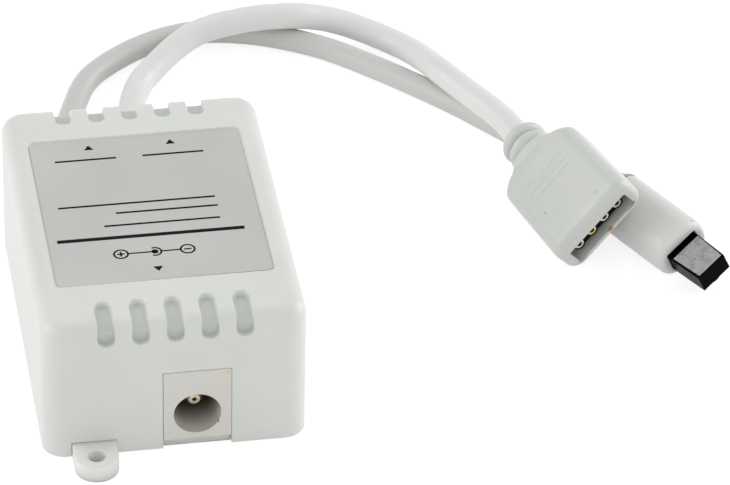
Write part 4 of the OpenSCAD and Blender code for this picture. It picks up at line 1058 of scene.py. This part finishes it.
POLARITY_Y, PLUS_X, MINUS_X, MIDDLE_X = -9.66, -5.19, 3.68, -0.68
SIGN_R, ARM, OPEN_R, OPEN_TO, DOT_R, DOT_W, LINE_W = 0.92, 0.5, 0.85, 2.0, 0.24, 0.46, 0.26
ARROW_HALF, ARROW_TIP, ARROW_FOOT, TIP_HALF = 0.65, 0.55, 0.45, 0.02
RULE_W, THICK_RULE_W = 0.36, 0.7
bands = [ring_band(PLUS_X, POLARITY_Y, SIGN_R, LINE_W),
         ring_band(MINUS_X, POLARITY_Y, SIGN_R, LINE_W),
         ring_band(MIDDLE_X, POLARITY_Y, OPEN_R, LINE_W, 24, -OPEN_TO, OPEN_TO),
         ring_band(MIDDLE_X, POLARITY_Y, DOT_R, DOT_W, 20),
         level_bar(PLUS_X - LINE_W / 2, PLUS_X + LINE_W / 2, POLARITY_Y, 2 * ARM)]
for x, y, point in ((-6.51, 14.9, 1), (4.62, 14.9, 1), (-0.7, -13.4, -1)):
    across = -point * np.array([-1, 0, 1])
    bands.append((np.column_stack([x + ARROW_HALF * across, [y - point * ARROW_FOOT] * 3]),
                  np.column_stack([x + TIP_HALF * across, [y + point * ARROW_TIP] * 3])))
for left, right_x in ((PLUS_X + SIGN_R, MIDDLE_X), (MIDDLE_X + OPEN_R, MINUS_X - SIGN_R),
                      (PLUS_X - ARM, PLUS_X + ARM), (MINUS_X - ARM, MINUS_X + ARM)):
    bands.append(level_bar(left, right_x, POLARITY_Y, LINE_W))
for left, right_x, y in ((-6.6, 8.9, -3.2), (-4.7, 9.0, -0.45), (-12.2, 8.9, 1.6),
                         (-11.4, -3.1, 12.2), (0.5, 8.8, 12.2)):
    bands.append(level_bar(left, right_x, y, RULE_W))
bands.append(level_bar(-13.2, 11.8, -5.9, THICK_RULE_W))
make_piece("label_print", *joined(band_solid(*band) for band in bands), ink, "cover", 30)

# %% [markdown]
# ## Floor and light
#
# The box stands on a plain white floor. Two large soft lamps light it from the left and
# the right, both slightly behind it, a weaker one lights it from the front, and the world
# fills the rest evenly. What the camera sees past the floor is plain white. Both floor and
# world are brighter to rays that reach the camera than to those that only carry light.

# %% Floor
def seen_rays(tree):
    """1 for rays that show a surface to the camera, straight, mirrored or through something
    clear, and 0 for those that only carry light."""
    kinds = add_node(tree, "ShaderNodeLightPath", {}).outputs
    seen = kinds["Is Camera Ray"]
    for other in ("Is Glossy Ray", "Is Transmission Ray"):
        seen = add_node(tree, "ShaderNodeMath", {0: seen, 1: kinds[other]},
                        operation="MAXIMUM").outputs[0]
    return seen


FLOOR_HALF, FLOOR_GLOW, FLOOR_LEVEL, SEEN_LEVEL = 3.0, 0.78, 0.92, 0.4
floor_mesh = bpy.data.meshes.new("floor")
floor_mesh.from_pydata([(-FLOOR_HALF, -FLOOR_HALF, 0), (FLOOR_HALF, -FLOOR_HALF, 0),
                        (FLOOR_HALF, FLOOR_HALF, 0), (-FLOOR_HALF, FLOOR_HALF, 0)], [],
                       [(0, 1, 2, 3)])
floor = add_object("floor", floor_mesh)
floor_white = Finish("floor white", Roughness=0.9, Emission_Color=(1, 1, 1, 1))
seen = seen_rays(floor_white.tree)
floor_white.shade("Base Color", floor_white.band(seen, 0, 1, FLOOR_LEVEL, SEEN_LEVEL))
floor_white.shade("Emission Strength", floor_white.band(seen, 0, 1, 0, FLOOR_GLOW))
floor_mesh.materials.append(floor_white.material)
print("floor:", 2 * FLOOR_HALF, "m wide")

# %% World and lamps
WORLD_LIGHT = 0.55
world = bpy.data.worlds.new("studio")
bpy.context.scene.world = world
world.use_nodes = True
tree = world.node_tree
sky = tree.nodes["Background"]
sky.inputs["Color"].default_value = (1, 1, 1, 1)
level = add_node(tree, "ShaderNodeMapRange",
                 {"Value": seen_rays(tree), "To Min": WORLD_LIGHT, "To Max": 1.0})
tree.links.new(level.outputs["Result"], sky.inputs["Strength"])


def lamp(name, place_mm, aim_mm, width_mm, power):
    """A square soft lamp that faces a point. Its power is in watts."""
    light = bpy.data.lights.new(name, "AREA")
    light.size, light.energy = width_mm * MM, power
    made = add_object(name, light)
    made.location = Vector(place_mm) * MM
    made.rotation_mode = "QUATERNION"
    aim = Vector(aim_mm) * MM - made.location
    made.rotation_quaternion = aim.to_track_quat("-Z", "Y")
    print(f"{name} lamp: {power} W")


lamp("left", (-520, 130, 300), (10, 10, 10), 400, 1.3)
lamp("right", (560, 160, 260), (30, 20, 10), 400, 1.75)
lamp("front", (60, -620, 160), (20, 0, 5), 500, 0.6)

bpy.context.scene.view_settings.view_transform = "Standard"
